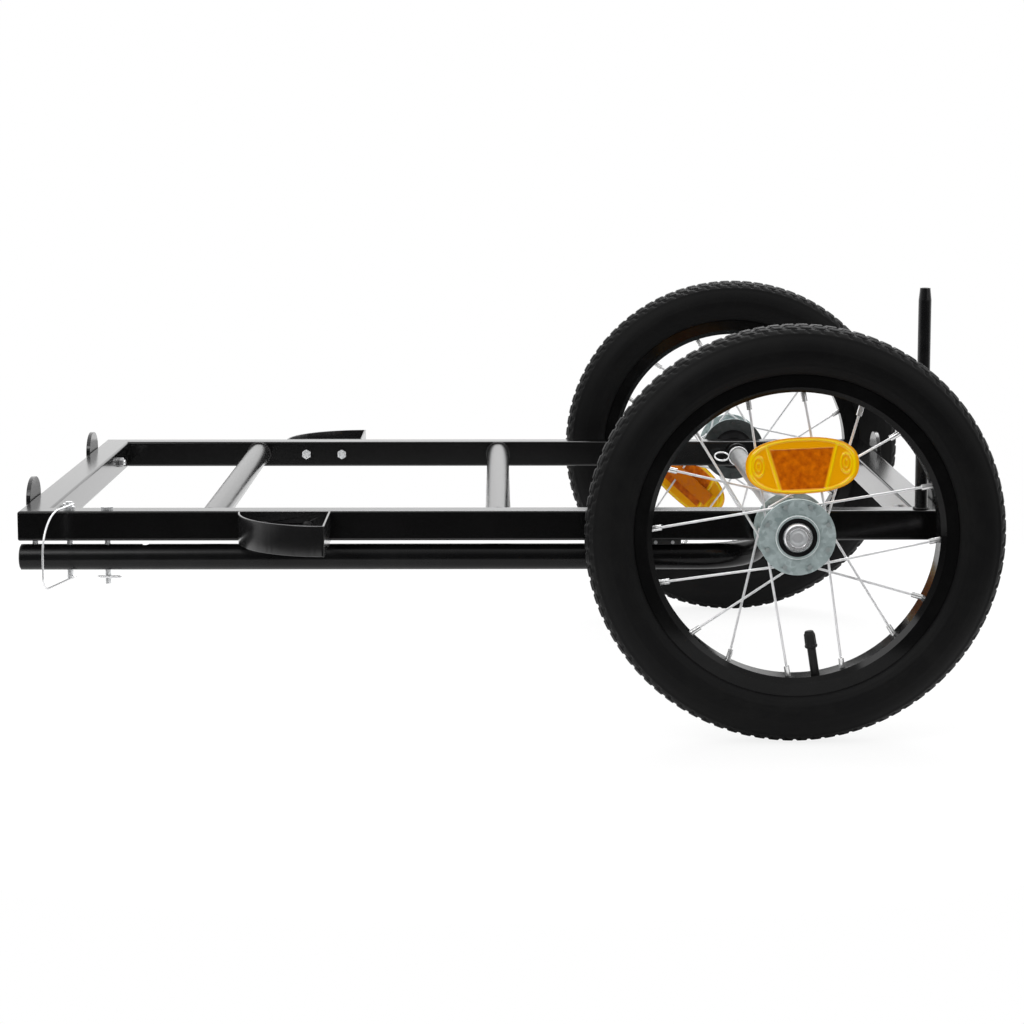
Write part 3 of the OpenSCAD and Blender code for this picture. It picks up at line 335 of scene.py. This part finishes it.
# ---- Stop tabs and side brackets with their bolts ----
# Strips of steel plate, cut and bent, sprayed with the frame's coat. Zinc plated round-head
# bolts with hexagon nuts hold the tabs on the end members and the brackets on the rails.
def side_tint():
    """The node group of a tint on the flanks. Its mask is (|y| - start) / (full - start), kept
    between 0 and 1, where |y| is the distance from the trailer's middle plane, and the mask
    mixes a tint into the colour and the metallic value."""
    group, given, given_out = new_group(
        "side_tint",
        {"Start": "Float", "Full": "Float", "Colour": "Color", "Tint": "Color",
         "Metallic": "Float", "Tint Metallic": "Float"},
        {"Distance": "Float", "Mask": "Float", "Colour": "Color", "Metallic": "Float"})
    place = add_node(group, "TexCoord")
    split = add_node(group, "SeparateXYZ", {0: place.outputs["Object"]})
    away = add_node(group, "Math", {0: split.outputs["Y"]}, operation="ABSOLUTE").outputs[0]
    mask = add_node(group, "MapRange", {"Value": away, "From Min": given.outputs["Start"],
                                        "From Max": given.outputs["Full"]}).outputs["Result"]
    colour = add_node(group, "Mix", {"Factor": mask, "A": given.outputs["Colour"],
                                     "B": given.outputs["Tint"]}, data_type="RGBA")
    metal = add_node(group, "MapRange", {"Value": mask, "To Min": given.outputs["Metallic"],
                                         "To Max": given.outputs["Tint Metallic"]})
    group.links.new(away, given_out.inputs["Distance"])
    group.links.new(mask, given_out.inputs["Mask"])
    group.links.new(colour.outputs["Result"], given_out.inputs["Colour"])
    group.links.new(metal.outputs["Result"], given_out.inputs["Metallic"])
    return group


flank = side_tint()


def tint_beyond(paint, start, full, colour, metallic):
    tree = paint.node_tree
    shader = tree.nodes["Principled BSDF"]
    tint = add_node(tree, "Group", {"Start": start, "Full": full, "Tint": (*colour, 1),
                                    "Colour": shader.inputs["Base Color"].links[0].from_socket,
                                    "Metallic": shader.inputs["Metallic"].default_value,
                                    "Tint Metallic": metallic}, node_tree=flank)
    tree.links.new(tint.outputs["Colour"], shader.inputs["Base Color"])
    tree.links.new(tint.outputs["Metallic"], shader.inputs["Metallic"])


plates = ["stop_tabs_front", "stop_tabs_rear", "bracket_left", "bracket_right"]
plate_coat = finish("black_plate_coat", (0.006, 0.006, 0.0063), (0.0085, 0.0085, 0.0088),
                    (0.3, 0.42), patch=22, grain=900, height=0.18,
                    Specular_IOR_Level=0.0, Coat_Weight=1.0, Coat_IOR=1.5, Coat_Roughness=0.22)
dress(plate_coat, *plates)
soften(0.0007, *plates)
zinc = finish("zinc_plated_hardware", (0.86, 0.87, 0.88), (0.66, 0.67, 0.68), (0.22, 0.36),
              patch=120, grain=1400, height=0.08, Metallic=0.6)
dress(zinc, "tab_bolts", "bracket_nuts")
# the tabs' nuts are darkened with painted shade, and the heads of the brackets' bolts are sprayed
# like the plates
shade_darkened_zinc = finish("shade_darkened_zinc_nuts", (0.34, 0.34, 0.345), (0.26, 0.26, 0.265), (0.36, 0.5),
                   patch=120, grain=1400, height=0.1, Metallic=0.5)
dress(shade_darkened_zinc, "tab_nuts")
sprayed_head = finish("zinc_bolt_with_sprayed_head", (0.8, 0.81, 0.82), (0.66, 0.67, 0.68),
                      (0.25, 0.4), patch=120, grain=1400, height=0.08, Metallic=0.6)
rail_outside = 0.279
tint_beyond(sprayed_head, start=rail_outside - 0.0005, full=rail_outside,
            colour=(0.02, 0.02, 0.02), metallic=0.0)
dress(sprayed_head, "bracket_bolts")
soften(0.0003, "tab_nuts", "bracket_nuts")

# ---- Flag post ----
# A steel tube with a tapered tip, open at the top for a flag's rod, welded upright on the left
# rear corner of the frame and painted black.
post_coat = finish("black_post_coat", (0.006, 0.006, 0.0065), (0.011, 0.011, 0.011),
                   (0.26, 0.38), patch=25, grain=640, height=0.2, Specular_IOR_Level=0.35)
dress(post_coat, "flag_post")
foot_rise = 0.0006
low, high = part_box("flag_post")
weld_bead("weld_flag_post", ((low.x + high.x) / 2, (low.y + high.y) / 2, low.z + foot_rise),
          axis="z", radius=(high.x - low.x) / 2 + weld_proud, bead=0.0014, ripples=18,
          body="frame")

# ---- Tow bar with its clevis, pins and wires ----
# A bent round tube under the left rail. A pivot pin with a hairpin clip and a lock pin with a
# bowed spring wire hold it, a stud and a rubber pad keep it off the rail, and a zinc plated
# clevis with a headed pin and a pull ring is its hitch.
tow_coat = finish("black_tow_tube_coat", (0.004, 0.004, 0.0042), (0.0075, 0.0075, 0.0078),
                  (0.24, 0.36), patch=16, grain=700, height=0.12,
                  Specular_IOR_Level=0.0, Coat_Weight=0.6, Coat_IOR=1.35, Coat_Roughness=0.22)
dress(tow_coat, "tow_tube")
dress(zinc, "hitch_clevis", "hitch_pin", "pivot_pin", "lock_pin", "pad_screws", "tow_spacer")
soften(0.0008, "hitch_clevis")
dress(bright_wire, "pivot_clip", "lock_wire", "pull_ring")
pad_rubber = finish("black_pad_rubber", (0.016, 0.016, 0.016), (0.03, 0.03, 0.029), (0.6, 0.75),
                    patch=40, grain=1200, height=0.4)
dress(pad_rubber, "tow_rest_pad")
soften(0.0008, "tow_rest_pad")
cap_plastic = finish("black_cap_plastic", (0.012, 0.012, 0.012), (0.024, 0.024, 0.024),
                     (0.42, 0.55), patch=50, grain=1100, height=0.3)
dress(cap_plastic, "tow_end_cap")

# ---- Hubs with their bearings, seals and axles ----
# Each hub is a steel barrel between two pressed flanges, zinc plated to a mottled grey. Black
# seals cover its bearings, and a chromed axle head with a push button closes its outer end.
hub_zinc = bpy.data.materials.new("mottled_hub_zinc")
hub_zinc.use_nodes = True
tree = hub_zinc.node_tree
shader = tree.nodes["Principled BSDF"]
shader.inputs["Metallic"].default_value = 0.45
place = add_node(tree, "TexCoord").outputs["Object"]
flakes = add_node(tree, "TexVoronoi", {"Vector": place, "Scale": 260})
cloud = add_node(tree, "TexNoise", {"Vector": place, "Scale": 90, "Detail": 5})
mottle = add_node(tree, "Mix", {"Factor": 0.55, "A": flakes.outputs["Color"],
                                "B": cloud.outputs["Fac"]}).outputs["Result"]


def two_tone(tree, value, low, low_colour, high, high_colour):
    """The output of a colour ramp on value, with one colour at low and the other at high."""
    ramp = add_node(tree, "ValToRGB", {"Fac": value})
    for stop, at, colour in zip(ramp.color_ramp.elements, (low, high), (low_colour, high_colour)):
        stop.position = at
        stop.color = (*colour, 1)
    return ramp.outputs["Color"]


tone = two_tone(tree, mottle, 0.25, (0.3, 0.37, 0.37), 0.8, (0.52, 0.6, 0.6))
# the inner flanges' inner faces are darkened with painted shade, and a thin painted highlight runs
# along the edge of the raised ring round each outer seal; y and radii are in metres
unshaded_beyond, painted_shade_within = 0.2965, 0.2961
highlight_radius, highlight_half_width, highlight_beyond = 0.0215, 0.0006, 0.3502
side = add_node(tree, "Group", {"Start": unshaded_beyond, "Full": painted_shade_within}, node_tree=flank)
shaded_tone = add_node(tree, "Mix", {"Factor": side.outputs["Mask"], "A": tone,
                                 "B": (0.16, 0.15, 0.15, 1)},
                   data_type="RGBA", blend_type="MULTIPLY")
hub_low, hub_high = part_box("hub_left")
hub_middle = ((hub_low.x + hub_high.x) / 2, 0, (hub_low.z + hub_high.z) / 2)
level = add_node(tree, "VectorMath", {0: place, 1: (1, 0, 1)}, operation="MULTIPLY")
radius = add_node(tree, "VectorMath", {0: level.outputs[0], 1: hub_middle},
                  operation="DISTANCE")
# a thin painted highlight circles the raised ring's edge at this radius, on the hubs' outer ends
# only
on_ring = add_node(tree, "Math", {0: radius.outputs["Value"], 1: highlight_radius,
                                  2: highlight_half_width}, operation="COMPARE")
outer_end = add_node(tree, "Math", {0: side.outputs["Distance"], 1: highlight_beyond},
                     operation="GREATER_THAN")
painted_highlight = add_node(tree, "Math", {0: on_ring.outputs[0], 1: outer_end.outputs[0]},
                  operation="MULTIPLY")
highlighted = add_node(tree, "Mix", {"Factor": painted_highlight.outputs[0], "A": shaded_tone.outputs["Result"],
                                "B": (0.85, 0.87, 0.87, 1)}, data_type="RGBA")
gloss = add_node(tree, "MapRange", {"Value": mottle, "To Min": 0.34, "To Max": 0.52})
bump = add_node(tree, "Bump", {"Height": cloud.outputs["Fac"], "Strength": 0.25,
                               "Distance": 0.0002})
tree.links.new(highlighted.outputs["Result"], shader.inputs["Base Color"])
tree.links.new(gloss.outputs["Result"], shader.inputs["Roughness"])
tree.links.new(bump.outputs["Normal"], shader.inputs["Normal"])
chrome = finish("polished_chrome", (0.9, 0.9, 0.91), (0.8, 0.8, 0.82), (0.14, 0.22),
                patch=80, grain=300, height=0.0, Metallic=0.75)
satin_nickel = finish("satin_nickel_button", (0.5, 0.51, 0.52), (0.4, 0.41, 0.42), (0.36, 0.5),
                      patch=110, grain=1500, height=0.03, Metallic=0.4)
seal_plastic = finish("black_seal_plastic", (0.004, 0.004, 0.0045), (0.009, 0.009, 0.0095),
                      (0.35, 0.5), patch=60, grain=900, height=0.2, Specular_IOR_Level=0.15)
ball_steel = finish("bearing_steel", (0.6, 0.6, 0.61), (0.4, 0.4, 0.41), (0.25, 0.35),
                    patch=80, grain=1400, height=0.2, Metallic=1.0)


def coil_points(low, high, turns, wire):
    """Points of a coil that fills the box from low to high, wound about Y. At a turn t its wire's
    middle is at x = R cos t, z = R sin t, and y rises evenly with t; each ring of the wire is a
    circle in the plane of Y and the radius."""
    along = np.linspace(0, 1, int(turns * 28) + 1)[:, None]
    around = np.linspace(0, 2 * np.pi, 12, endpoint=False)[None, :]
    turned_by = 2 * np.pi * turns * along
    out = (high.x - low.x - wire) / 2 + wire / 2 * np.cos(around)
    rise = low.y + wire / 2 + (high.y - low.y - wire) * along + wire / 2 * np.sin(around)
    return np.stack([(low.x + high.x) / 2 + out * np.cos(turned_by), rise,
                     (low.z + high.z) / 2 + out * np.sin(turned_by)], -1)


spring_turns = 2.5
spring_wire = 0.0007
for side, outwards in (("left", -1.0), ("right", 1.0)):
    dress(hub_zinc, f"hub_{side}")
    dress(chrome, f"axle_{side}")
    dress(satin_nickel, f"button_{side}")
    dress(seal_plastic, f"seals_{side}")
    dress(ball_steel, f"bearings_{side}")
    soften(0.0005, f"hub_{side}", f"axle_{side}")
    low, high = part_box(f"button_spring_{side}")
    coil = grid_mesh(f"spring_coil_{side}", coil_points(low, high, spring_turns, spring_wire),
                     False, ball_steel, f"axle_{side}", [f"button_spring_{side}"])
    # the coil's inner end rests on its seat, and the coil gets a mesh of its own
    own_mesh(coil)

# ---- Spokes and nipples ----
# Sixteen headed steel spokes a wheel, in four groups, run from the hub's flanges to nickel
# plated nipples in the rim.
spoke_steel = finish("spoke_steel", (0.8, 0.8, 0.81), (0.7, 0.7, 0.71), (0.38, 0.46),
                     patch=40, grain=1800, height=0.01, Metallic=0.5)
nipple_nickel = finish("nickel_nipples", (0.84, 0.84, 0.84), (0.7, 0.7, 0.7), (0.2, 0.32),
                       patch=60, grain=1800, height=0.02, Metallic=0.7)
# the outer flanges' heads are as dull as the hub, and the inner ones' are darkened with painted
# shade
tint_beyond(spoke_steel, start=0.3484, full=0.3488, colour=(0.36, 0.4, 0.4), metallic=0.45)
tint_beyond(spoke_steel, start=painted_shade_within, full=0.2957, colour=(0.07, 0.07, 0.07),
            metallic=0.45)
for side in ("left", "right"):
    dress(spoke_steel, f"spokes_{side}")
    dress(nipple_nickel, f"nipples_{side}")

# ---- Rims and rim strips ----
# Rolled rims with a raised edge either side, painted gloss black, and a rubber strip over the
# nipples' heads.
rim_gloss = finish("rim_gloss_black", (0.0035, 0.0035, 0.0036), (0.006, 0.006, 0.0061),
                   (0.2, 0.3), patch=18, grain=700, height=0.1,
                   Specular_IOR_Level=0.0, Coat_Weight=0.6, Coat_IOR=1.3, Coat_Roughness=0.1)
for side in ("left", "right"):
    dress(rim_gloss, f"rim_{side}")
    dress(pad_rubber, f"rim_strip_{side}")

# ---- Tyres, inner tubes and valves ----
# Moulded black tyres: a tread of five rows of blocks, and a smooth sidewall with ridges near
# the rim. The tube's rubber valve comes through the rim with a fluted dust cap.
tyre_rubber = finish("black_tyre_rubber", (0.0052, 0.0052, 0.0054), (0.0074, 0.0074, 0.0073),
                     (0.5, 0.62), patch=24, grain=1300, height=0.25, Specular_IOR_Level=0.08)
tube_rubber = finish("black_valve_rubber", (0.006, 0.006, 0.006), (0.01, 0.01, 0.01), (0.45, 0.6),
                     patch=60, grain=1500, height=0.3, Specular_IOR_Level=0.25)


def tyre_points(middle, outer, section, bead_half, bead_radius, edge_radius):
    """Points of a tyre. Across: an arc of radius section from one rim edge over the tread to the
    other, then down to the beads. Round: each column is turned on by a lead that grows towards
    the shoulder, so the grooves between the blocks slant. The crown's blocks lie at a lean under
    29 degrees and the shoulder's, half a block on, from 31 to 43; the columns between two blocks
    sink by a groove's depth. Ring grooves at 16 and 30 degrees part the rows. The sidewall lies a
    step lower, and each of its ridges rises by exp(-((lean - place) / width)^2)."""
    pitches = 92
    slant = 0.56 * 2 * np.pi / pitches  # the lead at a lean of 60 degrees
    steps = np.array([0.0, 0.09, 0.28, 0.37, 0.5, 0.59, 0.74, 0.83])
    crown_groove = np.tile([0.0, 1.0, 1.0, 0.0, 0.0, 0.0, 0.0, 0.0], pitches)
    shoulder_groove = np.tile([0.0, 0.0, 0.0, 0.0, 0.0, 1.0, 1.0, 0.0], pitches)
    column = ((np.arange(pitches)[:, None] + steps[None, :]) / pitches * 2 * np.pi).ravel()
    rim_edge = math.acos((edge_radius - outer + section) / section)
    tread_edge = math.radians(48)
    wall = np.linspace(rim_edge, tread_edge, 26)[:-1]
    arc = np.concatenate([-wall, np.linspace(-tread_edge, tread_edge, 49), wall[::-1]])
    lean = np.degrees(np.abs(arc))
    crown_to, shoulder_from, shoulder_to, rows_part_at = 29, 31, 43, (16, 30)
    crown = np.clip((crown_to - lean) / 2, 0, 1)
    shoulder = np.clip((lean - shoulder_from) / 2, 0, 1) * np.clip((shoulder_to - lean) / 2, 0, 1)
    crown_depth, shoulder_depth, ring_depth, wall_step = 0.0013, 0.0011, 0.0009, 0.0007
    sink = (crown_depth * crown_groove[:, None] * crown[None, :]
            + shoulder_depth * shoulder_groove[:, None] * shoulder[None, :])
    sink += sum(ring_depth * np.clip(1 - np.abs(lean - at) / 2.2, 0, 1)
                for at in rows_part_at)[None, :]
    ridges = ((84, 1.6, 0.0005), (118, 2.2, 0.0007), (126, 1.6, 0.0006))
    ring_rise = sum(rise * np.exp(-((lean - at) / wide) ** 2) for at, wide, rise in ridges)
    wall_from, wall_to = 47, 132
    step = wall_step * np.clip((lean - wall_from) / 2, 0, 1) * np.clip((wall_to - lean) / 8, 0, 1)
    away = section - sink + (ring_rise - step)[None, :]
    away = np.minimum(away, section)
    radius = outer - section + away * np.cos(arc)[None, :]
    across = away * np.sin(arc)[None, :]
    lead = np.sign(arc) * (lean / 60) ** 1.5 * slant
    bead = np.array([[edge_radius, bead_half], [bead_radius, bead_half], [bead_radius, 0.0],
                     [bead_radius, -bead_half], [edge_radius, -bead_half]])
    radius = np.hstack([radius, np.repeat(bead[None, :, 0], len(column), 0)])
    across = np.hstack([across, np.repeat(bead[None, :, 1], len(column), 0)])
    lead = np.concatenate([lead, np.linspace(lead[-1], lead[0], 5)])
    angle = column[:, None] + lead[None, :]
    return np.stack([middle[0] + radius * np.cos(angle), middle[1] + across,
                     middle[2] + radius * np.sin(angle)], -1)


def cap_points(centre, axis_way, reach, wide):
    """Points of a fluted dust cap standing along axis_way from centre. Its radius is wide / 2 x
    profile x (1 - flute depth x grip x (1 + cos(flutes x turn)) / 2), with profile and grip given
    for each place along it."""
    flutes, flute_depth = 10, 0.07
    along = np.array([0, 0, 0.04, 0.1, 0.16, 0.2, 0.24, 0.8, 0.86, 0.9, 0.97, 1.0])
    profile = np.array([0.55, 0.8, 0.95, 1.0, 1.0, 0.92, 0.94, 0.9, 0.82, 0.74, 0.7, 0.62])
    grip = np.array([0, 0, 0, 0, 0, 0.3, 1, 1, 0.3, 0, 0, 0])
    turns = np.linspace(0, 2 * np.pi, flutes * 8, endpoint=False)
    dip = flute_depth * grip[:, None] * (0.5 + 0.5 * np.cos(flutes * turns))
    radius = wide / 2 * profile[:, None] * (1 - dip)
    side = np.cross(axis_way, [0, 1, 0])
    return (np.array(centre) + reach * along[:, None, None] * np.array(axis_way)
            + radius[..., None] * (np.cos(turns)[None, :, None] * side
                                   + np.sin(turns)[None, :, None] * np.array([0, 1, 0])))


cap_length = 0.017
for side in ("left", "right"):
    low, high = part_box(f"tyre_{side}")
    middle = ((low.x + high.x) / 2, (low.y + high.y) / 2, (low.z + high.z) / 2)
    tread = tyre_points(middle, outer=0.2065, section=0.027, bead_half=0.0137,
                        bead_radius=0.1528, edge_radius=0.1588)
    grid_mesh(f"tyre_tread_{side}", tread, True, tyre_rubber, f"wheel_{side}", [f"tyre_{side}"])
    dress(tube_rubber, f"inner_tube_{side}")
    low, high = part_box(f"valve_cap_{side}")
    cap_mid = np.array([(low.x + high.x) / 2, (low.y + high.y) / 2, (low.z + high.z) / 2])
    inward = np.array(middle) - cap_mid
    inward /= np.linalg.norm(inward)
    cap = cap_points(cap_mid - inward * cap_length / 2, inward, reach=cap_length, wide=0.0126)
    grid_mesh(f"dust_cap_{side}", cap, False, tube_rubber, f"wheel_{side}",
              [f"valve_cap_{side}"])


# ---- Spoke reflectors ----
# Moulded amber lenses clipped to the outer spokes: a dark middle field of prisms, wider towards
# the rim, between two slanted ribs, and a pale ring of ribs in either tip, inside a raised edge.
def ridge(distance, width):
    """A smooth ridge one high over the line where distance is zero: exp(-(distance / width)^2)."""
    return np.exp(-(distance / width) ** 2)


def lens_points(length, tall, thick, tip):
    """A lens in its own plane, x along it, y up it and z out of it, as rings from its front's
    middle to its edge and on to its back's middle. The outline is x = length / 2 * cos^0.8 and
    y = tall / 2 * sin^(0.5 + tip / tall) of the turn. On both faces the field, |x| < half width
    at that height, is sunk, ribs stand along its slanted sides, an oval ring stands in either
    tip, and the edge is raised. Also gives which points are in the field, and on a rib."""
    turns = np.linspace(0, 2 * np.pi, 240, endpoint=False)
    outline_x = length / 2 * np.sign(np.cos(turns)) * np.abs(np.cos(turns)) ** 0.8
    outline_y = tall / 2 * np.sign(np.sin(turns)) * np.abs(np.sin(turns)) ** (0.5 + tip / tall)
    inner = np.concatenate([np.linspace(0.01, 0.95, 72), [0.965, 0.98, 0.992, 1.0]])
    share = np.concatenate([inner, inner[::-1]])[:, None]
    front = np.repeat([True, False], len(inner))[:, None]  # the other half is the back
    x = share * outline_x
    y = share * outline_y
    half_width, spread, field_low, field_high, soft = 0.0268, 0.265, -0.0235, 0.0168, 0.0008
    side = np.abs(x) - (half_width + spread * y)
    inside = np.clip(-side / soft, 0, 1) * np.clip((y - field_low) / soft, 0, 1)
    inside *= np.clip((field_high - y) / soft, 0, 1) * np.clip((0.955 - share) / 0.03, 0, 1)
    line_off = 0.0022  # of the raised edge from the outline, and of a slanted rib from the field
    edge = ridge((1 - share) * tall / 2 - line_off, 0.0009)
    slanted = ridge(side - line_off, 0.0012) * (share < 0.94)
    tip_x, tip_y, narrow, outer_ring, inner_ring = 0.0425, 0.001, 0.55, 0.0095, 0.004
    oval = np.hypot((np.abs(x) - tip_x) / narrow, y - tip_y)
    ring = ridge(oval - outer_ring, 0.0012) + 0.7 * ridge(oval - inner_ring, 0.001)
    ring *= share < 0.96
    rib_height, ring_height, most, field_depth = 0.0012, 0.001, 0.0018, 0.0008
    back_share, front_rim, back_rim = 0.4, 0.75, 0.3
    relief = np.minimum(rib_height * (edge + slanted) + ring_height * ring, most)
    relief -= field_depth * inside
    z = np.where(front, thick - most + relief, back_share * (most - relief))
    z = np.where(share == 1.0, np.where(front, front_rim, back_rim) * thick, z)
    return np.stack([x, y, z], -1), inside, np.clip(edge + slanted + ring, 0, 1)


amber = bpy.data.materials.new("amber_lens")
amber.use_nodes = True
tree = amber.node_tree
shader = tree.nodes["Principled BSDF"]
shader.inputs["Roughness"].default_value = 0.2
shader.inputs["Specular IOR Level"].default_value = 0.25
shader.inputs["Coat Weight"].default_value = 0.25
shader.inputs["Coat Roughness"].default_value = 0.05
field_mask = add_node(tree, "Attribute", attribute_name="prism_field").outputs["Fac"]
rib_mask = add_node(tree, "Attribute", attribute_name="rib").outputs["Fac"]
flat = add_node(tree, "UVMap", uv_map="flat").outputs["UV"]
cells = add_node(tree, "TexVoronoi", {"Vector": flat, "Scale": 1.0, "Randomness": 0.0},
                 distance="CHEBYCHEV")
clouds = add_node(tree, "TexNoise", {"Vector": flat, "Scale": 0.6, "Detail": 4})
dark = two_tone(tree, clouds.outputs["Fac"], 0.35, (0.47, 0.082, 0.0), 0.68, (0.74, 0.18, 0.0))
ends = add_node(tree, "Mix", {"Factor": rib_mask, "A": (0.93, 0.4, 0.0, 1),
                              "B": (1.0, 0.7, 0.0, 1)}, data_type="RGBA")
tint = add_node(tree, "Mix", {"Factor": field_mask, "A": ends.outputs["Result"], "B": dark},
                data_type="RGBA")
prism = add_node(tree, "Math", {0: cells.outputs["Distance"], 1: field_mask},
                 operation="MULTIPLY")
bump = add_node(tree, "Bump", {"Height": prism.outputs[0], "Strength": 0.25,
                               "Distance": 0.0006})
tree.links.new(tint.outputs["Result"], shader.inputs["Base Color"])
tree.links.new(bump.outputs["Normal"], shader.inputs["Normal"])

# a clip behind each lens grips the spokes; a lens's middle is turned by degrees round the hub,
# from straight back up over the top, and its long side leans a few more from square to that
lens_radius = 0.070
lens_lean = 6
prism_pitch = 0.0042
amber_clip = finish("amber_clip_plastic", (0.62, 0.16, 0.0), (0.5, 0.11, 0.0), (0.25, 0.35),
                    patch=140, grain=900, height=0.1, Specular_IOR_Level=0.25)
for side, outwards, turned in (("left", -1.0, 86.7), ("right", 1.0, 221.7)):
    low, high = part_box(f"reflector_{side}")
    hub_low, hub_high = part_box(f"hub_{side}")
    spoke = math.radians(turned)
    lean = math.radians(90 - turned - lens_lean)
    out = np.array([math.cos(spoke), 0.0, math.sin(spoke)])
    along = np.array([math.cos(lean), 0.0, -math.sin(lean)])
    up = np.array([math.sin(lean), 0.0, math.cos(lean)])
    back = low.y if outwards > 0 else high.y
    centre = lens_radius * out + np.array([(hub_low.x + hub_high.x) / 2, back,
                                           (hub_low.z + hub_high.z) / 2])
    flat_points, field, rib = lens_points(length=0.110, tall=0.055, thick=0.006, tip=0.0165)
    spots = (centre + flat_points[..., :1] * along + flat_points[..., 1:2] * up
             + flat_points[..., 2:] * np.array([0.0, outwards, 0.0]))
    lens = grid_mesh(f"reflector_lens_{side}", spots, False, amber, f"wheel_{side}",
                     [f"reflector_{side}"])
    for name, values in (("prism_field", field), ("rib", rib)):
        mask = lens.data.attributes.new(name, "FLOAT", "POINT")
        mask.data.foreach_set("value", np.append(values.ravel(), [values[0, 0], values[-1, 0]]))
    corners = np.zeros(len(lens.data.loops), int)
    lens.data.loops.foreach_get("vertex_index", corners)
    prisms = np.vstack([flat_points[..., :2].reshape(-1, 2), [[0, 0], [0, 0]]]) / prism_pitch
    lens.data.uv_layers.new(name="flat").data.foreach_set("uv", prisms[corners].ravel())
    dress(amber_clip, f"reflector_clip_{side}")
